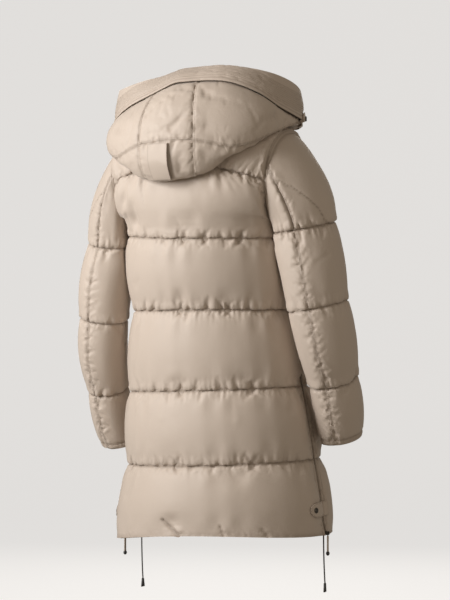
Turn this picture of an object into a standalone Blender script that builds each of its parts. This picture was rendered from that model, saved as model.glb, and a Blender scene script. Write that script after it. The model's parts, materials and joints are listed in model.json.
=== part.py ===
"""A long hooded puffer coat in the pose of a standing wearer, hollow, with its hood folded down.

Metres, +Z up. The wearer faces -Y, so the wearer's right is -X. The origin is the middle of the
neck opening, where a wearer's neck and shoulders hold the coat up.

Each cut piece is a padded wall: a plain inner grid of points, and an outer grid moved out along
shared directions by a thickness that is least at each line of quilting and most between two.
"""

import math

import bmesh
import bpy
import numpy as np
from mathutils import Matrix, Vector
from mathutils.bvhtree import BVHTree

# ---------------------------------------------------------------- driving sizes

SEAM_GAP = 0.0003
QUILTS = (0.120, 0.264, 0.412, 0.573, 0.722, 0.877)  # drops of the body's quilting and of its hem
UNDERARM = 0.228
CHANNEL_STEPS = (0.0, 0.14, 0.36, 0.64, 0.86)  # where the rows lie between two lines of quilting
ZIP_STEPS = (0.0, 0.14, 0.36, 0.64, 0.83, 0.87)  # the same in the channel where the side zips start
UPPER_SHARES = (0.0, 0.11, 0.23, 0.35, 0.474, 0.59, 0.71, 0.82, 0.92, 1.0)

NECK_HALF_WIDTH = 0.080
NECK_BACK = 0.072
NECK_FRONT = 0.085
NECK_MIDDLE_DROP = 0.020
NECK_BACK_RISE = 0.022
NECK_FRONT_FALL = 0.035
SHOULDER = (0.186, 0.034, 0.056)  # out from the middle, towards the back, drop
LEFT_SHOULDER_FALL = 0.010  # how much lower the wearer's left shoulder stands
LEFT_SLEEVE_FALL = 0.027
ARMHOLE_HALF_DEPTH = 0.080
ARMHOLE_HOLLOW = 0.004

SEAM_WALL = 0.005
ARMHOLE_WALL = 0.0045
SHOULDER_WALL = 0.006
HEM_WALL = 0.009
BODY_PUFF = 0.0155
YOKE_PUFF = 0.009
SLEEVE_PUFF = 0.0095
CONTACT_GAP = 0.0006
CONTACT_WALL = 0.0042

ZIP_CHANNEL = 2
ZIP_HALF_GAP = 0.0040
ZIP_WALL = 0.0035
COLLAR_ROWS = (0.0, 0.010, 0.028, 0.048)
COLLAR_WALL = 0.007
COLLAR_LEAN = 0.10

LAY_FROM = 0.30  # how far outside a piece starts before it is laid on
LAID_GAP = 0.0011
SNAP_GAP = 0.0008
TAB_WALL = 0.0030
TAB_HALF = 0.0150
SNAP_RADIUS = 0.0055
SNAP_HEIGHT = 0.0022
STRAP_TURNS = (-10.5, 3.5)
STRAP_HEIGHTS = (-0.152, -0.086)
THROAT_TURNS = (138, 95)
THROAT_HEIGHT = -0.028
THROAT_LEAST = -0.040
SIDE_TAB_TURNS = (94.5, 72.5)
SIDE_TAB_DROP = 0.822
SLIDER_HEIGHT = 0.0070
SLIDER_LIFT = 0.0006
SIDE_REACH = 0.0075
FRONT_REACH = 0.0110
FRONT_SLIDER_DROP = 0.0080
PULL_SECTIONS = (
    (-0.0016, 0.0012, 0.0006),
    (-0.0010, 0.0016, 0.0013),
    (0.0000, 0.0016, 0.0016),
    (0.0012, 0.0016, 0.0012),
    (0.0022, 0.0015, 0.0008),
    (0.0046, 0.0015, 0.0008),
    (0.0064, 0.0035, 0.0008),
    (0.0360, 0.0035, 0.0008),
    (0.0368, 0.0026, 0.0022),
    (0.0385, 0.0036, 0.0034),
    (0.0415, 0.0038, 0.0036),
    (0.0440, 0.0026, 0.0026),
    (0.0448, 0.0010, 0.0010),
)
CORD_RADIUS = 0.0014
CORD_START = 0.0006  # below the hem
# side, panel over it, turn, length, how far the end has swung sideways
DRAWCORDS = (
    ("left", "front_left", -105.0, 0.096, -0.003),
    ("right", "back", 88.0, 0.094, -0.003),
)
CORD_END_SECTIONS = (
    (0.0000, 0.0020, 0.0018),
    (0.0008, 0.0026, 0.0022),
    (0.0050, 0.0030, 0.0022),
    (0.0150, 0.0052, 0.0018),
    (0.0172, 0.0055, 0.0016),
    (0.0180, 0.0048, 0.0010),
)

BACK_COLUMNS = 28
SHOULDER_COLUMNS = 8
FRONT_NECK_COLUMNS = 4
FRONT_COLUMNS = SHOULDER_COLUMNS + FRONT_NECK_COLUMNS
ARM_ROWS = len(UPPER_SHARES) - 1  # rows from the underarm to the shoulder, on each of the back and the front

# ---------------------------------------------------------------- tables


class Table:
    """Rows of named numbers, read between the rows on a smooth curve through them."""

    def __init__(self, columns, rows):
        self.columns = columns
        self.rows = np.array(rows, dtype=float)

    def at(self, name, place):
        places = self.rows[:, 0]
        values = self.rows[:, self.columns.index(name)]
        slopes = np.gradient(values, places)
        k = int(np.clip(np.searchsorted(places, place) - 1, 0, len(places) - 2))
        span = places[k + 1] - places[k]
        t = min(max((place - places[k]) / span, 0.0), 1.0)
        return (
            (2 * t**3 - 3 * t**2 + 1) * values[k]
            + (t**3 - 2 * t**2 + t) * span * slopes[k]
            + (3 * t**2 - 2 * t**3) * values[k + 1]
            + (t**3 - t**2) * span * slopes[k + 1]
        )


# Inner wall of the body at each level. to_left and to_back place the middle of the section, lean is
# how many degrees its right side rises over its left, and lift is how far its back rides up.
BODY = Table(
    ("drop", "half_width", "back", "front", "to_left", "to_back", "lean", "lift"),
    (
        (0.228, 0.1660, 0.122, 0.124, 0.000, 0.036, -1.5, -0.006),
        (0.264, 0.1670, 0.124, 0.125, 0.000, 0.034, -1.5, -0.006),
        (0.412, 0.1686, 0.127, 0.128, -0.002, 0.010, 0.5, 0.000),
        (0.573, 0.1870, 0.139, 0.141, -0.004, -0.002, 2.6, 0.000),
        (0.722, 0.2020, 0.151, 0.153, -0.013, -0.008, 3.0, 0.000),
        (0.877, 0.2255, 0.168, 0.170, -0.013, -0.008, 3.8, 0.018),
    ),
)

# How far back the middle of the back lies, from the underarm's level at 0 to the neck at 1.
BACK_PROFILE = Table(
    ("share", "back"),
    (
        (0.00, 0.158),
        (0.23, 0.160),
        (0.474, 0.157),
        (0.71, 0.142),
        (0.82, 0.126),
        (0.92, 0.102),
        (1.00, 0.072),
    ),
)

# How far the wall may stand out of the body's side where a sleeve lies against it.
SIDE_ROOM = Table(
    ("drop", "room"),
    (
        (0.228, 0.0000),
        (0.240, 0.0038),
        (0.264, 0.0060),
        (0.340, 0.0090),
        (0.412, 0.0140),
        (0.490, 0.0160),
        (0.575, 0.0200),
        (0.650, 0.0210),
        (0.700, 0.0300),
        (0.760, 0.0800),
        (0.900, 0.0800),
    ),
)

# Inner wall of a sleeve. The section is an oval whose long axis points outward and forward.
# rise is how much the ring climbs for each metre towards the front.
SLEEVE = Table(
    ("drop", "out", "back", "long", "short", "rise"),
    (
        (0.246, 0.2200, 0.041, 0.0580, 0.0480, 0.20),
        (0.343, 0.2390, 0.041, 0.0575, 0.0470, 0.14),
        (0.402, 0.2480, 0.036, 0.0560, 0.0455, 0.18),
        (0.500, 0.2590, 0.014, 0.0495, 0.0410, 0.30),
        (0.552, 0.2625, -0.005, 0.0450, 0.0375, 0.36),
        (0.610, 0.2625, -0.026, 0.0425, 0.0350, 0.38),
        (0.668, 0.2600, -0.046, 0.0400, 0.0340, 0.36),
    ),
)
SLEEVE_QUILTS = (0.246, 0.402, 0.552, 0.668)
SLEEVE_TURN = math.radians(45)
SLEEVE_FREE_DROP = 0.70  # below this the sleeves hang clear of the body
UPPER_SLEEVE_FROM = 5
UPPER_SLEEVE_TO = 14

# Inner wall of the hood as it lies folded down, at each turn from the back round to the throat.
# Each place is a distance from the hood's middle line and a height. Its root lies on the collar,
# and left_fall is how much lower the wearer's left side of the rim has slipped.
HOOD = Table(
    (
        "turn",
        "under_out", "under_up",
        "foot_out", "foot_up",
        "seam_out", "seam_up",
        "crease_out", "crease_up",
        "rim_out", "rim_up",
        "left_fall",
    ),
    (
        (0, 0.128, -0.058, 0.154, -0.152, 0.178, -0.080, 0.133, 0.036, 0.104, 0.064, 0.000),
        (20, 0.128, -0.055, 0.157, -0.144, 0.180, -0.081, 0.137, 0.038, 0.109, 0.066, 0.018),
        (45, 0.130, -0.042, 0.174, -0.104, 0.190, -0.092, 0.164, 0.033, 0.143, 0.066, 0.036),
        (60, 0.132, -0.026, 0.178, -0.080, 0.196, -0.072, 0.182, 0.014, 0.165, 0.060, 0.035),
        (75, 0.134, -0.014, 0.182, -0.058, 0.196, -0.050, 0.194, -0.014, 0.184, 0.050, 0.020),
        (90, 0.134, -0.010, 0.180, -0.038, 0.195, -0.032, 0.196, -0.026, 0.190, 0.036, 0.004),
        (110, 0.134, -0.014, 0.168, -0.036, 0.181, -0.031, 0.183, -0.024, 0.181, 0.020, 0.000),
        (130, 0.134, -0.026, 0.152, -0.046, 0.160, -0.038, 0.162, -0.028, 0.159, 0.006, 0.000),
        (158, 0.138, -0.044, 0.148, -0.054, 0.152, -0.048, 0.152, -0.038, 0.148, -0.010, 0.000),
    ),
)
HOOD_FALL = {"under": 0.0, "foot": 0.2, "seam": 0.3, "crease": 1.0, "rim": 0.6}
HOOD_PLACES = ("under", "foot", "seam", "crease", "rim")
HOOD_ROOT_HEIGHT = 0.008  # up the collar
HOOD_MIDDLE_BACK = 0.030
HOOD_END = 158
HOOD_CENTRE_HALF = 19
HOOD_PUFF = 0.010
HOOD_WALL = 0.004
HOOD_GAP = 0.0050
HOOD_ROOT_GAP = 0.0017
HOOD_REST = 0.0075  # under the hood, where it lies on the back
HOOD_COLUMNS = 14
CHEST = np.array((0.0, 0.03, -0.20))  # a place inside the body, to tell out from in
BAND_WALL = 0.009

# Each fold dents the outer wall of the back: turn from the middle of the back (degrees), drop of
# its middle, half length, half width, depth, and how many degrees it leans from upright.
FOLD_COLUMNS = ("turn", "drop", "half_length", "half_width", "depth", "lean")
BACK_FOLDS = (
    (-38, 0.235, 0.050, 0.012, 0.010, 8),
    (-52, 0.170, 0.030, 0.012, 0.008, 0),
    (7, 0.235, 0.030, 0.016, 0.006, -20),
    (-1, 0.400, 0.020, 0.012, 0.006, 0),
    (32, 0.405, 0.020, 0.012, 0.005, 15),
    (-4, 0.565, 0.022, 0.012, 0.006, 0),
    (40, 0.560, 0.022, 0.014, 0.006, 0),
    (-9, 0.720, 0.025, 0.014, 0.007, 0),
    (28, 0.740, 0.030, 0.014, 0.006, 10),
    (-7, 0.850, 0.024, 0.014, 0.009, 35),
)

UP = np.array((0.0, 0.0, 1.0))


# ---------------------------------------------------------------- small helpers


def unit(vector):
    return vector / np.linalg.norm(vector)


def ease(t):
    """0 to 1 with level ends."""
    t = np.clip(t, 0.0, 1.0)
    return t * t * (3 - 2 * t)


def channel_rows(drops, zip_channel=None):
    """(drop, share of the channel) of every row, from the first drop to the last."""
    rows = []
    for k, (upper, lower) in enumerate(zip(drops, drops[1:])):
        steps = ZIP_STEPS if k == zip_channel else CHANNEL_STEPS
        rows += [(upper + (lower - upper) * t, t) for t in steps]
    return rows + [(drops[-1], 1.0)]


def swell(share):
    """Height of the filling between two lines of quilting, from 0 at a line to 1."""
    return math.sin(math.pi * share) ** 0.7 if 0 < share < 1 else 0.0


def gather(turn, drop):
    """Uneven waves along a line of quilting, within -1 and 1."""
    return 0.6 * math.sin(0.39 * turn + 40 * drop) + 0.4 * math.sin(0.47 * turn + 90 * drop)


# ---------------------------------------------------------------- materials


def material(name, colour, roughness, metallic=0.0):
    made = bpy.data.materials.new(name)
    made.use_nodes = True
    shader = made.node_tree.nodes["Principled BSDF"]
    shader.inputs["Base Color"].default_value = (*colour, 1.0)
    shader.inputs["Roughness"].default_value = roughness
    shader.inputs["Metallic"].default_value = metallic
    return made


def clear_scene():
    for old in list(bpy.data.objects):
        bpy.data.objects.remove(old)


# ---------------------------------------------------------------- walls


def mesh_object(name, mesh, finish, collection):
    made = bpy.data.objects.new(name, mesh)
    mesh.materials.append(finish)
    collection.objects.link(made)
    return made


def drawn_in(grid):
    """The grid with its edge points moved in by half a seam's gap, towards their neighbours."""
    moved = grid.copy()
    half = SEAM_GAP / 2
    for edge, inside in ((0, 1), (-1, -2)):
        for axis in (0, 1):
            step = np.take(grid, inside, axis) - np.take(grid, edge, axis)
            length = np.linalg.norm(step, axis=-1, keepdims=True)
            shift = step / np.maximum(length, 1e-9) * half
            if axis == 0:
                moved[edge] += shift
            else:
                moved[:, edge] += shift
    return moved


def diagonal(near, far):
    """What orders the two ways to split an edge face: the shorter first."""
    return (round(float(np.linalg.norm(far - near)), 6), *np.round(near, 5))


def wall(name, inner, outer, finish, collection):
    """A closed wall between an inner and an outer grid of points."""
    plain, raised = np.asarray(inner), np.asarray(outer)
    inner, outer = drawn_in(plain), drawn_in(raised)
    rows, columns = inner.shape[:2]
    shell = bmesh.new()
    sheets = [[[shell.verts.new(p) for p in row] for row in grid] for grid in (inner, outer)]
    for sheet in sheets:
        for i in range(rows - 1):
            for j in range(columns - 1):
                corners = (sheet[i][j], sheet[i + 1][j], sheet[i + 1][j + 1], sheet[i][j + 1])
                shell.faces.new(corners)
    border = [(0, j) for j in range(columns)]
    border += [(i, columns - 1) for i in range(1, rows)]
    border += [(rows - 1, j) for j in range(columns - 2, -1, -1)]
    border += [(i, 0) for i in range(rows - 2, 0, -1)]
    near, far = sheets
    for (a, b), (c, d) in zip(border, border[1:] + border[:1]):
        # Both sides of a seam split their edge faces the same way, so a twist can't cross the gap.
        one, other = diagonal(plain[a, b], raised[c, d]), diagonal(plain[c, d], raised[a, b])
        if one < other:
            shell.faces.new((near[a][b], near[c][d], far[c][d]))
            shell.faces.new((near[a][b], far[c][d], far[a][b]))
        else:
            shell.faces.new((near[a][b], near[c][d], far[a][b]))
            shell.faces.new((near[c][d], far[c][d], far[a][b]))
    bmesh.ops.recalc_face_normals(shell, faces=shell.faces)
    mesh = bpy.data.meshes.new(name)
    shell.to_mesh(mesh)
    shell.free()
    mesh.shade_smooth()
    mesh.set_sharp_from_angle(angle=math.radians(50))
    return mesh_object(name, mesh, finish, collection)


def directions(grid, sign):
    """The outward direction at each point of a grid."""
    along = np.gradient(grid, axis=0)
    across = np.gradient(grid, axis=1)
    normal = np.cross(along, across) * sign
    return normal / np.maximum(np.linalg.norm(normal, axis=-1, keepdims=True), 1e-12)


# ---------------------------------------------------------------- the body's form


def body_point(drop, turn):
    """Inner wall at a drop and a turn in degrees from the middle of the back to the wearer's right."""
    angle = math.radians(turn)
    half_width = BODY.at("half_width", drop)
    depth = BODY.at("back" if math.cos(angle) > 0 else "front", drop)
    x = -half_width * math.sin(angle)
    y = depth * math.cos(angle)
    rise = -x * math.tan(math.radians(BODY.at("lean", drop)))
    rise += BODY.at("lift", drop) * max(math.cos(angle), 0.0) ** 2
    return np.array((x + BODY.at("to_left", drop), y + BODY.at("to_back", drop), rise - drop))


def side_limit(side, drop):
    """|x| of the surface that parts a sleeve from the body's side."""
    low = -armhole_point(side, 0)[2]
    if drop < low:
        top = (low - drop) / (low + armhole_point(side, 180)[2])
        angle = math.degrees(math.acos(1 - 2 * min(top, 1.0)))
        return abs(armhole_point(side, angle)[0])
    below = drop - low + UNDERARM
    return abs(body_point(below, -90 * side)[0]) + SIDE_ROOM.at("room", below)


def neck_point(turn):
    angle = math.radians(turn)
    back = math.cos(angle) > 0
    lift = NECK_BACK_RISE if back else NECK_FRONT_FALL
    depth = NECK_BACK if back else NECK_FRONT
    return np.array(
        (
            -NECK_HALF_WIDTH * math.sin(angle),
            depth * math.cos(angle),
            -NECK_MIDDLE_DROP + lift * math.cos(angle),
        )
    )


def armhole_point(side, angle):
    """The seam round the arm: angle 0 at the underarm, 90 at the back and 180 at the shoulder."""
    under = body_point(UNDERARM, -90 * side)
    out, back, drop = SHOULDER
    if side > 0:
        drop += LEFT_SHOULDER_FALL
    top = np.array((out * side, back, -drop))
    sweep = math.radians(angle)
    hollow = np.array((-ARMHOLE_HOLLOW * side, ARMHOLE_HALF_DEPTH, 0.0))
    if angle > 180:
        hollow[0] = -hollow[0]
    return (under + top) / 2 - (top - under) / 2 * math.cos(sweep) + hollow * math.sin(sweep)


def armhole_direction(side, angle):
    """Which way both walls thicken at the armhole: away from the arm's middle, and outward on top."""
    sweep = math.radians(angle)
    outward = 0.35 * (1 - math.cos(sweep)) / 2
    return unit(np.array((outward * side, math.sin(sweep), -math.cos(sweep))))


def shoulder_point(side, share):
    """Along the shoulder seam, from the shoulder at 0 to the neck at 1."""
    start = armhole_point(side, 180)
    end = neck_point(-90 * side)
    return start + (end - start) * share


def shoulder_direction(side, share):
    start = armhole_direction(side, 180)
    end = neck_direction(neck_point(-90 * side))
    return unit(start * (1 - share) + end * share)


def neck_direction(point):
    """Which way both walls thicken at the neck's seam."""
    return unit(np.array((point[0], point[1], math.hypot(point[0], point[1]))))


def loft(bottom, top, left, right, fade_left, fade_right):
    """A grid between two rows, bent at its two ends to meet the other two edges."""
    v = np.array(UPPER_SHARES)[:, None, None]
    grid = (1 - v) * bottom[None] + v * top[None]
    for edge, end, fade in ((left, 0, fade_left), (right, -1, fade_right)):
        bow = edge - grid[:, end]
        grid = grid + bow[:, None] * fade[None, :, None]
    return grid


def zip_rows():
    """Drops between which the side edges part for the zip."""
    upper, lower = QUILTS[ZIP_CHANNEL], QUILTS[ZIP_CHANNEL + 1]
    return [upper + (lower - upper) * t for t in ZIP_STEPS[-2:]]


def zip_turn(drop):
    """How many degrees of turn the side edges stand back from the zip's middle line."""
    closed, opened = zip_rows()
    step = ease((drop - closed) / (opened - closed))
    return math.degrees(ZIP_HALF_GAP * step / BODY.at("back", drop))


def front_turn(drop):
    return math.degrees(ZIP_HALF_GAP / BODY.at("half_width", drop))


def lower_rows():
    """Rows below the underarm, from the hem up."""
    return channel_rows(QUILTS[1:], ZIP_CHANNEL - 1)[::-1]


def front_line(side, share):
    """The edge of a front from the underarm's level at 0 up to the neck at 1."""
    low = body_point(UNDERARM, 180 + side * front_turn(UNDERARM))
    high = neck_point(180)
    high[0] = side * ZIP_HALF_GAP
    bow = math.sin(math.pi * share) * 0.016
    return low + (high - low) * share + np.array((0.0, -bow, bow * 0.4))


def neck_turns():
    """Turns of every column of the neck's seam, from the left front's edge round the back."""
    front = list(np.linspace(180, 90, FRONT_NECK_COLUMNS + 1))
    back = list(np.linspace(90, -90, BACK_COLUMNS - 2 * SHOULDER_COLUMNS + 1))[1:-1]
    return [-t for t in front + back + [-t for t in front[::-1]]]


def neck_column(turn):
    """A column's place on the neck's seam. The two fronts end at the zip."""
    place = neck_point(turn)
    if abs(turn) == 180:
        place[0] = -math.copysign(ZIP_HALF_GAP, turn)
    return place


def upper_grid(kind):
    """The body above the underarm: rows from the underarm up, columns as in the lower grid."""
    sweep = np.linspace(0, 180, ARM_ROWS + 1)
    shares = np.linspace(0, 1, SHOULDER_COLUMNS + 1)
    if kind == "back":
        bottom = np.array([body_point(UNDERARM, t) for t in back_turns(UNDERARM)])
        left = np.array([armhole_point(1, a) for a in sweep])
        right = np.array([armhole_point(-1, a) for a in sweep])
        necks = [t for t in neck_turns() if abs(t) < 89]
        top = [shoulder_point(1, s) for s in shares]
        top += [neck_column(t) for t in necks]
        top += [shoulder_point(-1, s) for s in shares[::-1]]
        across = np.linspace(0, 1, BACK_COLUMNS + 1)
        fades = np.maximum(0, 1 - 2 * across) ** 2, np.maximum(0, 2 * across - 1) ** 2
        inward = 2 * np.minimum(across, 1 - across)
        middle = np.array([BACK_PROFILE.at("back", v) for v in UPPER_SHARES])
    else:
        side = 1 if kind == "front_left" else -1
        bottom = np.array([body_point(UNDERARM, t) for t in front_turns(side, UNDERARM)])
        left = np.array([armhole_point(side, -a % 360) for a in sweep])
        right = np.array([front_line(side, v) for v in UPPER_SHARES])
        necks = [t for t in neck_turns() if t * -side > 91]
        necks.sort(key=abs)
        top = [shoulder_point(side, s) for s in shares]
        top += [neck_column(t) for t in necks]
        across = np.linspace(0, 1, FRONT_COLUMNS + 1)
        fades = (1 - across) ** 2, across**2
        inward = across
        middle = right[:, 1]
    top = np.array(top)
    grid = loft(bottom, top, left, right, *fades)
    centre = len(top) // 2 if kind == "back" else -1
    along_top = (top[:, 1] - top[0, 1]) / (top[centre, 1] - top[0, 1])
    along_bottom = (bottom[:, 1] - bottom[0, 1]) / (bottom[centre, 1] - bottom[0, 1])
    for i, share in enumerate(UPPER_SHARES):
        near_top = ease((share - 0.62) / 0.38) ** 1.5
        near_bottom = 1 - ease(share / 0.3)
        form = near_bottom * along_bottom + (1 - near_bottom) * (1 - (1 - inward) ** 2)
        form = (1 - near_top) * form + near_top * along_top
        half = len(form) // 2
        starts = np.full(len(form), left[i, 1])
        if kind == "back":
            starts[half:] = right[i, 1]
        grid[i, :, 1] = starts + (middle[i] - starts) * form
    return grid


def front_turns(side, drop):
    """Turns of a front's columns, from its side edge to its front edge."""
    first = 90 + zip_turn(drop)
    last = 180 - front_turn(drop)
    return [-side * t for t in np.linspace(first, last, FRONT_COLUMNS + 1)]


def back_turns(drop):
    last = 90 - zip_turn(drop)
    return np.linspace(-last, last, BACK_COLUMNS + 1)


def edge_softness(distance, pinch, reach=0.035):
    """1 in the middle of a panel, and less near a seam."""
    return 1 - pinch * (1 - ease(distance / reach))


def fold_depth(turn, drop):
    """How deep the folds of the back are at a place."""
    depth = 0.0
    for row in BACK_FOLDS:
        fold = dict(zip(FOLD_COLUMNS, row))
        lean = math.radians(fold["lean"])
        aside = math.radians(turn - fold["turn"]) * BODY.at("back", max(drop, UNDERARM))
        down = drop - fold["drop"]
        along = down * math.cos(lean) + aside * math.sin(lean)
        away = aside * math.cos(lean) - down * math.sin(lean)
        reach = max(0.0, 1 - (along / fold["half_length"]) ** 2)
        depth += fold["depth"] * reach * math.exp(-((away / fold["half_width"]) ** 2))
    return depth


def body_thickness(kind, turn, drop, share):
    """Thickness of the body's wall below the underarm."""
    from_seam = abs(abs(turn) - 90) * math.pi / 180 * BODY.at("back", drop)
    pinch = 0.9 if drop > zip_rows()[0] else 0.45
    fill = swell(share) * edge_softness(from_seam, pinch)
    if kind != "back":
        from_front = (180 - abs(turn)) * math.pi / 180 * BODY.at("half_width", drop)
        fill *= edge_softness(from_front, 0.9)
    base = SEAM_WALL + (HEM_WALL - SEAM_WALL) * ease((drop - 0.855) / 0.025)
    crinkle = 1 + 0.28 * gather(turn, drop - share * 0.15) * (1 - swell(share) ** 2)
    thick = base + BODY_PUFF * fill * crinkle
    if kind == "back":
        thick -= fold_depth(turn, drop)
    return max(thick, 0.0038)


def upper_thickness(kind, across, inward, share_up):
    """Thickness of the body's wall above the underarm."""
    drop = UNDERARM * (1 - share_up)
    share, puff = upper_share(drop)
    fill = swell(share) * edge_softness(inward, 0.6)
    turn = -90 + 180 * across
    crinkle = 1 + 0.28 * gather(turn, share) * (1 - swell(share) ** 2)
    thickness = SEAM_WALL + puff * fill * crinkle
    if kind == "back":
        thickness -= fold_depth(turn, drop)
    return max(thickness, 0.0038)


def body_panel(kind):
    """(inner grid, outer grid) of the back or of a front, from the hem up."""
    upper = upper_grid(kind)
    side = -1 if kind == "front_right" else 1
    inner, thick = [], []
    for drop, share in lower_rows():
        turns = back_turns(drop) if kind == "back" else front_turns(side, drop)
        inner.append([body_point(drop, t) for t in turns])
        thick.append([body_thickness(kind, t, drop, share) for t in turns])
    inner += list(upper)
    rows, columns = upper.shape[:2]
    for share_up in UPPER_SHARES:
        line = []
        for j in range(columns):
            from_arm = min(j, columns - 1 - j) if kind == "back" else j
            across = j / (columns - 1)
            line.append(upper_thickness(kind, across, from_arm * 0.018, share_up))
        thick.append(line)
    inner, thick = np.array(inner), np.array(thick)
    inner[:, 1:-1] = clear_of_sleeves(inner[:, 1:-1], CONTACT_WALL)
    out = directions(inner, 1.0 if kind == "front_left" else -1.0)
    settle_edges(kind, side, inner, out, thick, rows)
    outer = inner + out * thick[..., None]
    first_upper = len(inner) - rows
    outer[:first_upper] = clear_of_sleeves(outer[:first_upper], 0.0)
    outer[:, 1:-1] = clear_of_sleeves(outer[:, 1:-1], 0.0)
    return inner, outer


def upper_share(drop):
    """(share of the channel, height of its filling) above the underarm."""
    if drop > QUILTS[0]:
        return (drop - QUILTS[0]) / (QUILTS[1] - QUILTS[0]), BODY_PUFF * 0.85
    return drop / QUILTS[0], YOKE_PUFF


def settle_edges(kind, side, inner, out, thick, arm_rows):
    """Gives each edge that meets another piece the direction and thickness of their seam."""
    first_upper = len(inner) - arm_rows
    for i in range(first_upper):
        for j in (0, -1):
            if kind != "back" and j == -1:
                out[i, j] = unit(np.array((0.0, -1.0, 0.0)) + 0.2 * out[i, j])
                continue
            out[i, j] = (math.copysign(1.0, inner[i, j, 0]), 0.0, 0.0)
    for i in range(arm_rows):
        angle = 180 * i / (arm_rows - 1)
        if kind == "back":
            out[first_upper + i, 0] = armhole_direction(1, angle)
            out[first_upper + i, -1] = armhole_direction(-1, angle)
            thick[first_upper + i, [0, -1]] = ARMHOLE_WALL
        else:
            out[first_upper + i, 0] = armhole_direction(side, -angle % 360)
            out[first_upper + i, -1] = unit(np.array((0.0, -1.0, 0.3 * i / arm_rows)))
            thick[first_upper + i, 0] = ARMHOLE_WALL
    columns = inner.shape[1]
    for j in range(columns):
        if j <= SHOULDER_COLUMNS:
            share = j / SHOULDER_COLUMNS
            out[-1, j] = shoulder_direction(side if kind != "back" else 1, share)
        elif kind == "back" and j >= columns - 1 - SHOULDER_COLUMNS:
            share = (columns - 1 - j) / SHOULDER_COLUMNS
            out[-1, j] = shoulder_direction(-1, share)
        else:
            out[-1, j] = neck_direction(inner[-1, j])
        thick[-1, j] = SHOULDER_WALL
    thick[-1, 0] = ARMHOLE_WALL
    if kind == "back":
        thick[-1, -1] = ARMHOLE_WALL


def clear_of_sleeves(grid, inside):
    """Flattens the body's side where a sleeve lies against it, some way inside the parting."""
    cleared = np.array(grid)
    for point in cleared.reshape(-1, 3):
        drop = -point[2]
        if SHOULDER[2] + 0.02 < drop < SLEEVE_FREE_DROP + 0.05:
            side = 1 if point[0] > 0 else -1
            most = side_limit(side, drop) - CONTACT_GAP - inside
            if abs(point[0]) > most:
                point[0] = side * most
    return cleared


# ---------------------------------------------------------------- the sleeves' form


def sleeve_ring(side, drop, angle):
    """Inner wall of a sleeve below its cap."""
    sweep = math.radians(angle)
    aim = np.array((-math.cos(sweep), math.sin(sweep)))
    long_axis = np.array((math.cos(SLEEVE_TURN), -math.sin(SLEEVE_TURN)))
    short_axis = np.array((math.sin(SLEEVE_TURN), math.cos(SLEEVE_TURN)))
    offset = SLEEVE.at("long", drop) * aim.dot(long_axis) * long_axis
    offset = offset + SLEEVE.at("short", drop) * aim.dot(short_axis) * short_axis
    slope = (SLEEVE.at("out", drop + 0.01) - SLEEVE.at("out", drop - 0.01)) / 0.02
    height = -drop + offset[0] * slope - offset[1] * SLEEVE.at("rise", drop)
    if side > 0:
        height -= LEFT_SLEEVE_FALL
    out = SLEEVE.at("out", drop) + offset[0]
    least = 0.0
    if -height < SLEEVE_FREE_DROP:
        least = side_limit(side, -height) + CONTACT_GAP + CONTACT_WALL
    softness = 0.004
    if out < least + softness:
        blend = (least + softness - out) / (2 * softness)
        out = least + softness * max(0.0, 1 - blend) ** 2 if blend < 1 else least
    return np.array((side * out, SLEEVE.at("back", drop) + offset[1], height))


def cap_point(side, share, angle):
    """Between the armhole at 0 and the sleeve's first line of quilting at 1."""
    start = armhole_point(side, angle)
    end = sleeve_ring(side, SLEEVE_QUILTS[0], angle)
    chord = np.linalg.norm(end - start)
    top = (1 - math.cos(math.radians(angle))) / 2
    leave = unit(np.array((side * (0.25 + 0.30 * top), 0.0, -1.0 + 0.15 * top)))
    arrive = unit(np.array((side * 0.16, 0.0, -1.0)))
    t = share
    return (
        (2 * t**3 - 3 * t**2 + 1) * start
        + (t**3 - 2 * t**2 + t) * leave * chord
        + (3 * t**2 - 2 * t**3) * end
        + (t**3 - t**2) * arrive * chord
    )


def sleeve_grids(side):
    """(inner, outer) of the whole sleeve, one column for each step round the arm."""
    angles = np.linspace(0, 360, 2 * ARM_ROWS + 1)
    rows = channel_rows(SLEEVE_QUILTS)
    inner, thick = [], []
    for share in CHANNEL_STEPS:
        inner.append([cap_point(side, share, a) for a in angles])
        thick.append([sleeve_thickness(a, 0.2, share) for a in angles])
    for drop, share in rows:
        inner.append([sleeve_ring(side, drop, a) for a in angles])
        thick.append([sleeve_thickness(a, drop, share) for a in angles])
    inner, thick = np.array(inner), np.array(thick)
    around = np.concatenate([inner[:, -2:-1], inner, inner[:, 1:2]], axis=1)
    out = directions(around, -side)[:, 1:-1]
    out[0] = [armhole_direction(side, a) for a in angles]
    thick[0] = ARMHOLE_WALL
    outer = inner + out * thick[..., None]
    for point in outer[1:].reshape(-1, 3):
        drop = -point[2]
        least = side_limit(side, drop) + CONTACT_GAP
        if drop < SLEEVE_FREE_DROP and side * point[0] < least:
            point[0] = side * least
    return inner, outer


def sleeve_thickness(angle, drop, share):
    """Thickness of a sleeve's wall."""
    from_back = abs(angle - 80) / 360
    from_front = abs(angle - 280) / 360
    seam = min(from_back, from_front) * 0.36
    fill = swell(share) * edge_softness(seam, 0.35, 0.02)
    inside = 0.5 * (1 + math.cos(math.radians(angle)))
    fill *= 1 - 0.75 * ease(inside)
    crinkle = 1 + 0.3 * gather(angle * 0.5, drop - share * 0.1) * (1 - swell(share) ** 2)
    return 0.0042 + SLEEVE_PUFF * fill * crinkle


# ---------------------------------------------------------------- the hood's form


def collar_point(turn, height):
    """Inner wall of the collar at a turn round the neck and a height above the neck's seam."""
    angle = math.radians(turn)
    radial = np.array((-math.sin(angle), math.cos(angle), 0.0))
    return neck_point(turn) - radial * COLLAR_LEAN * height + UP * height


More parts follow.
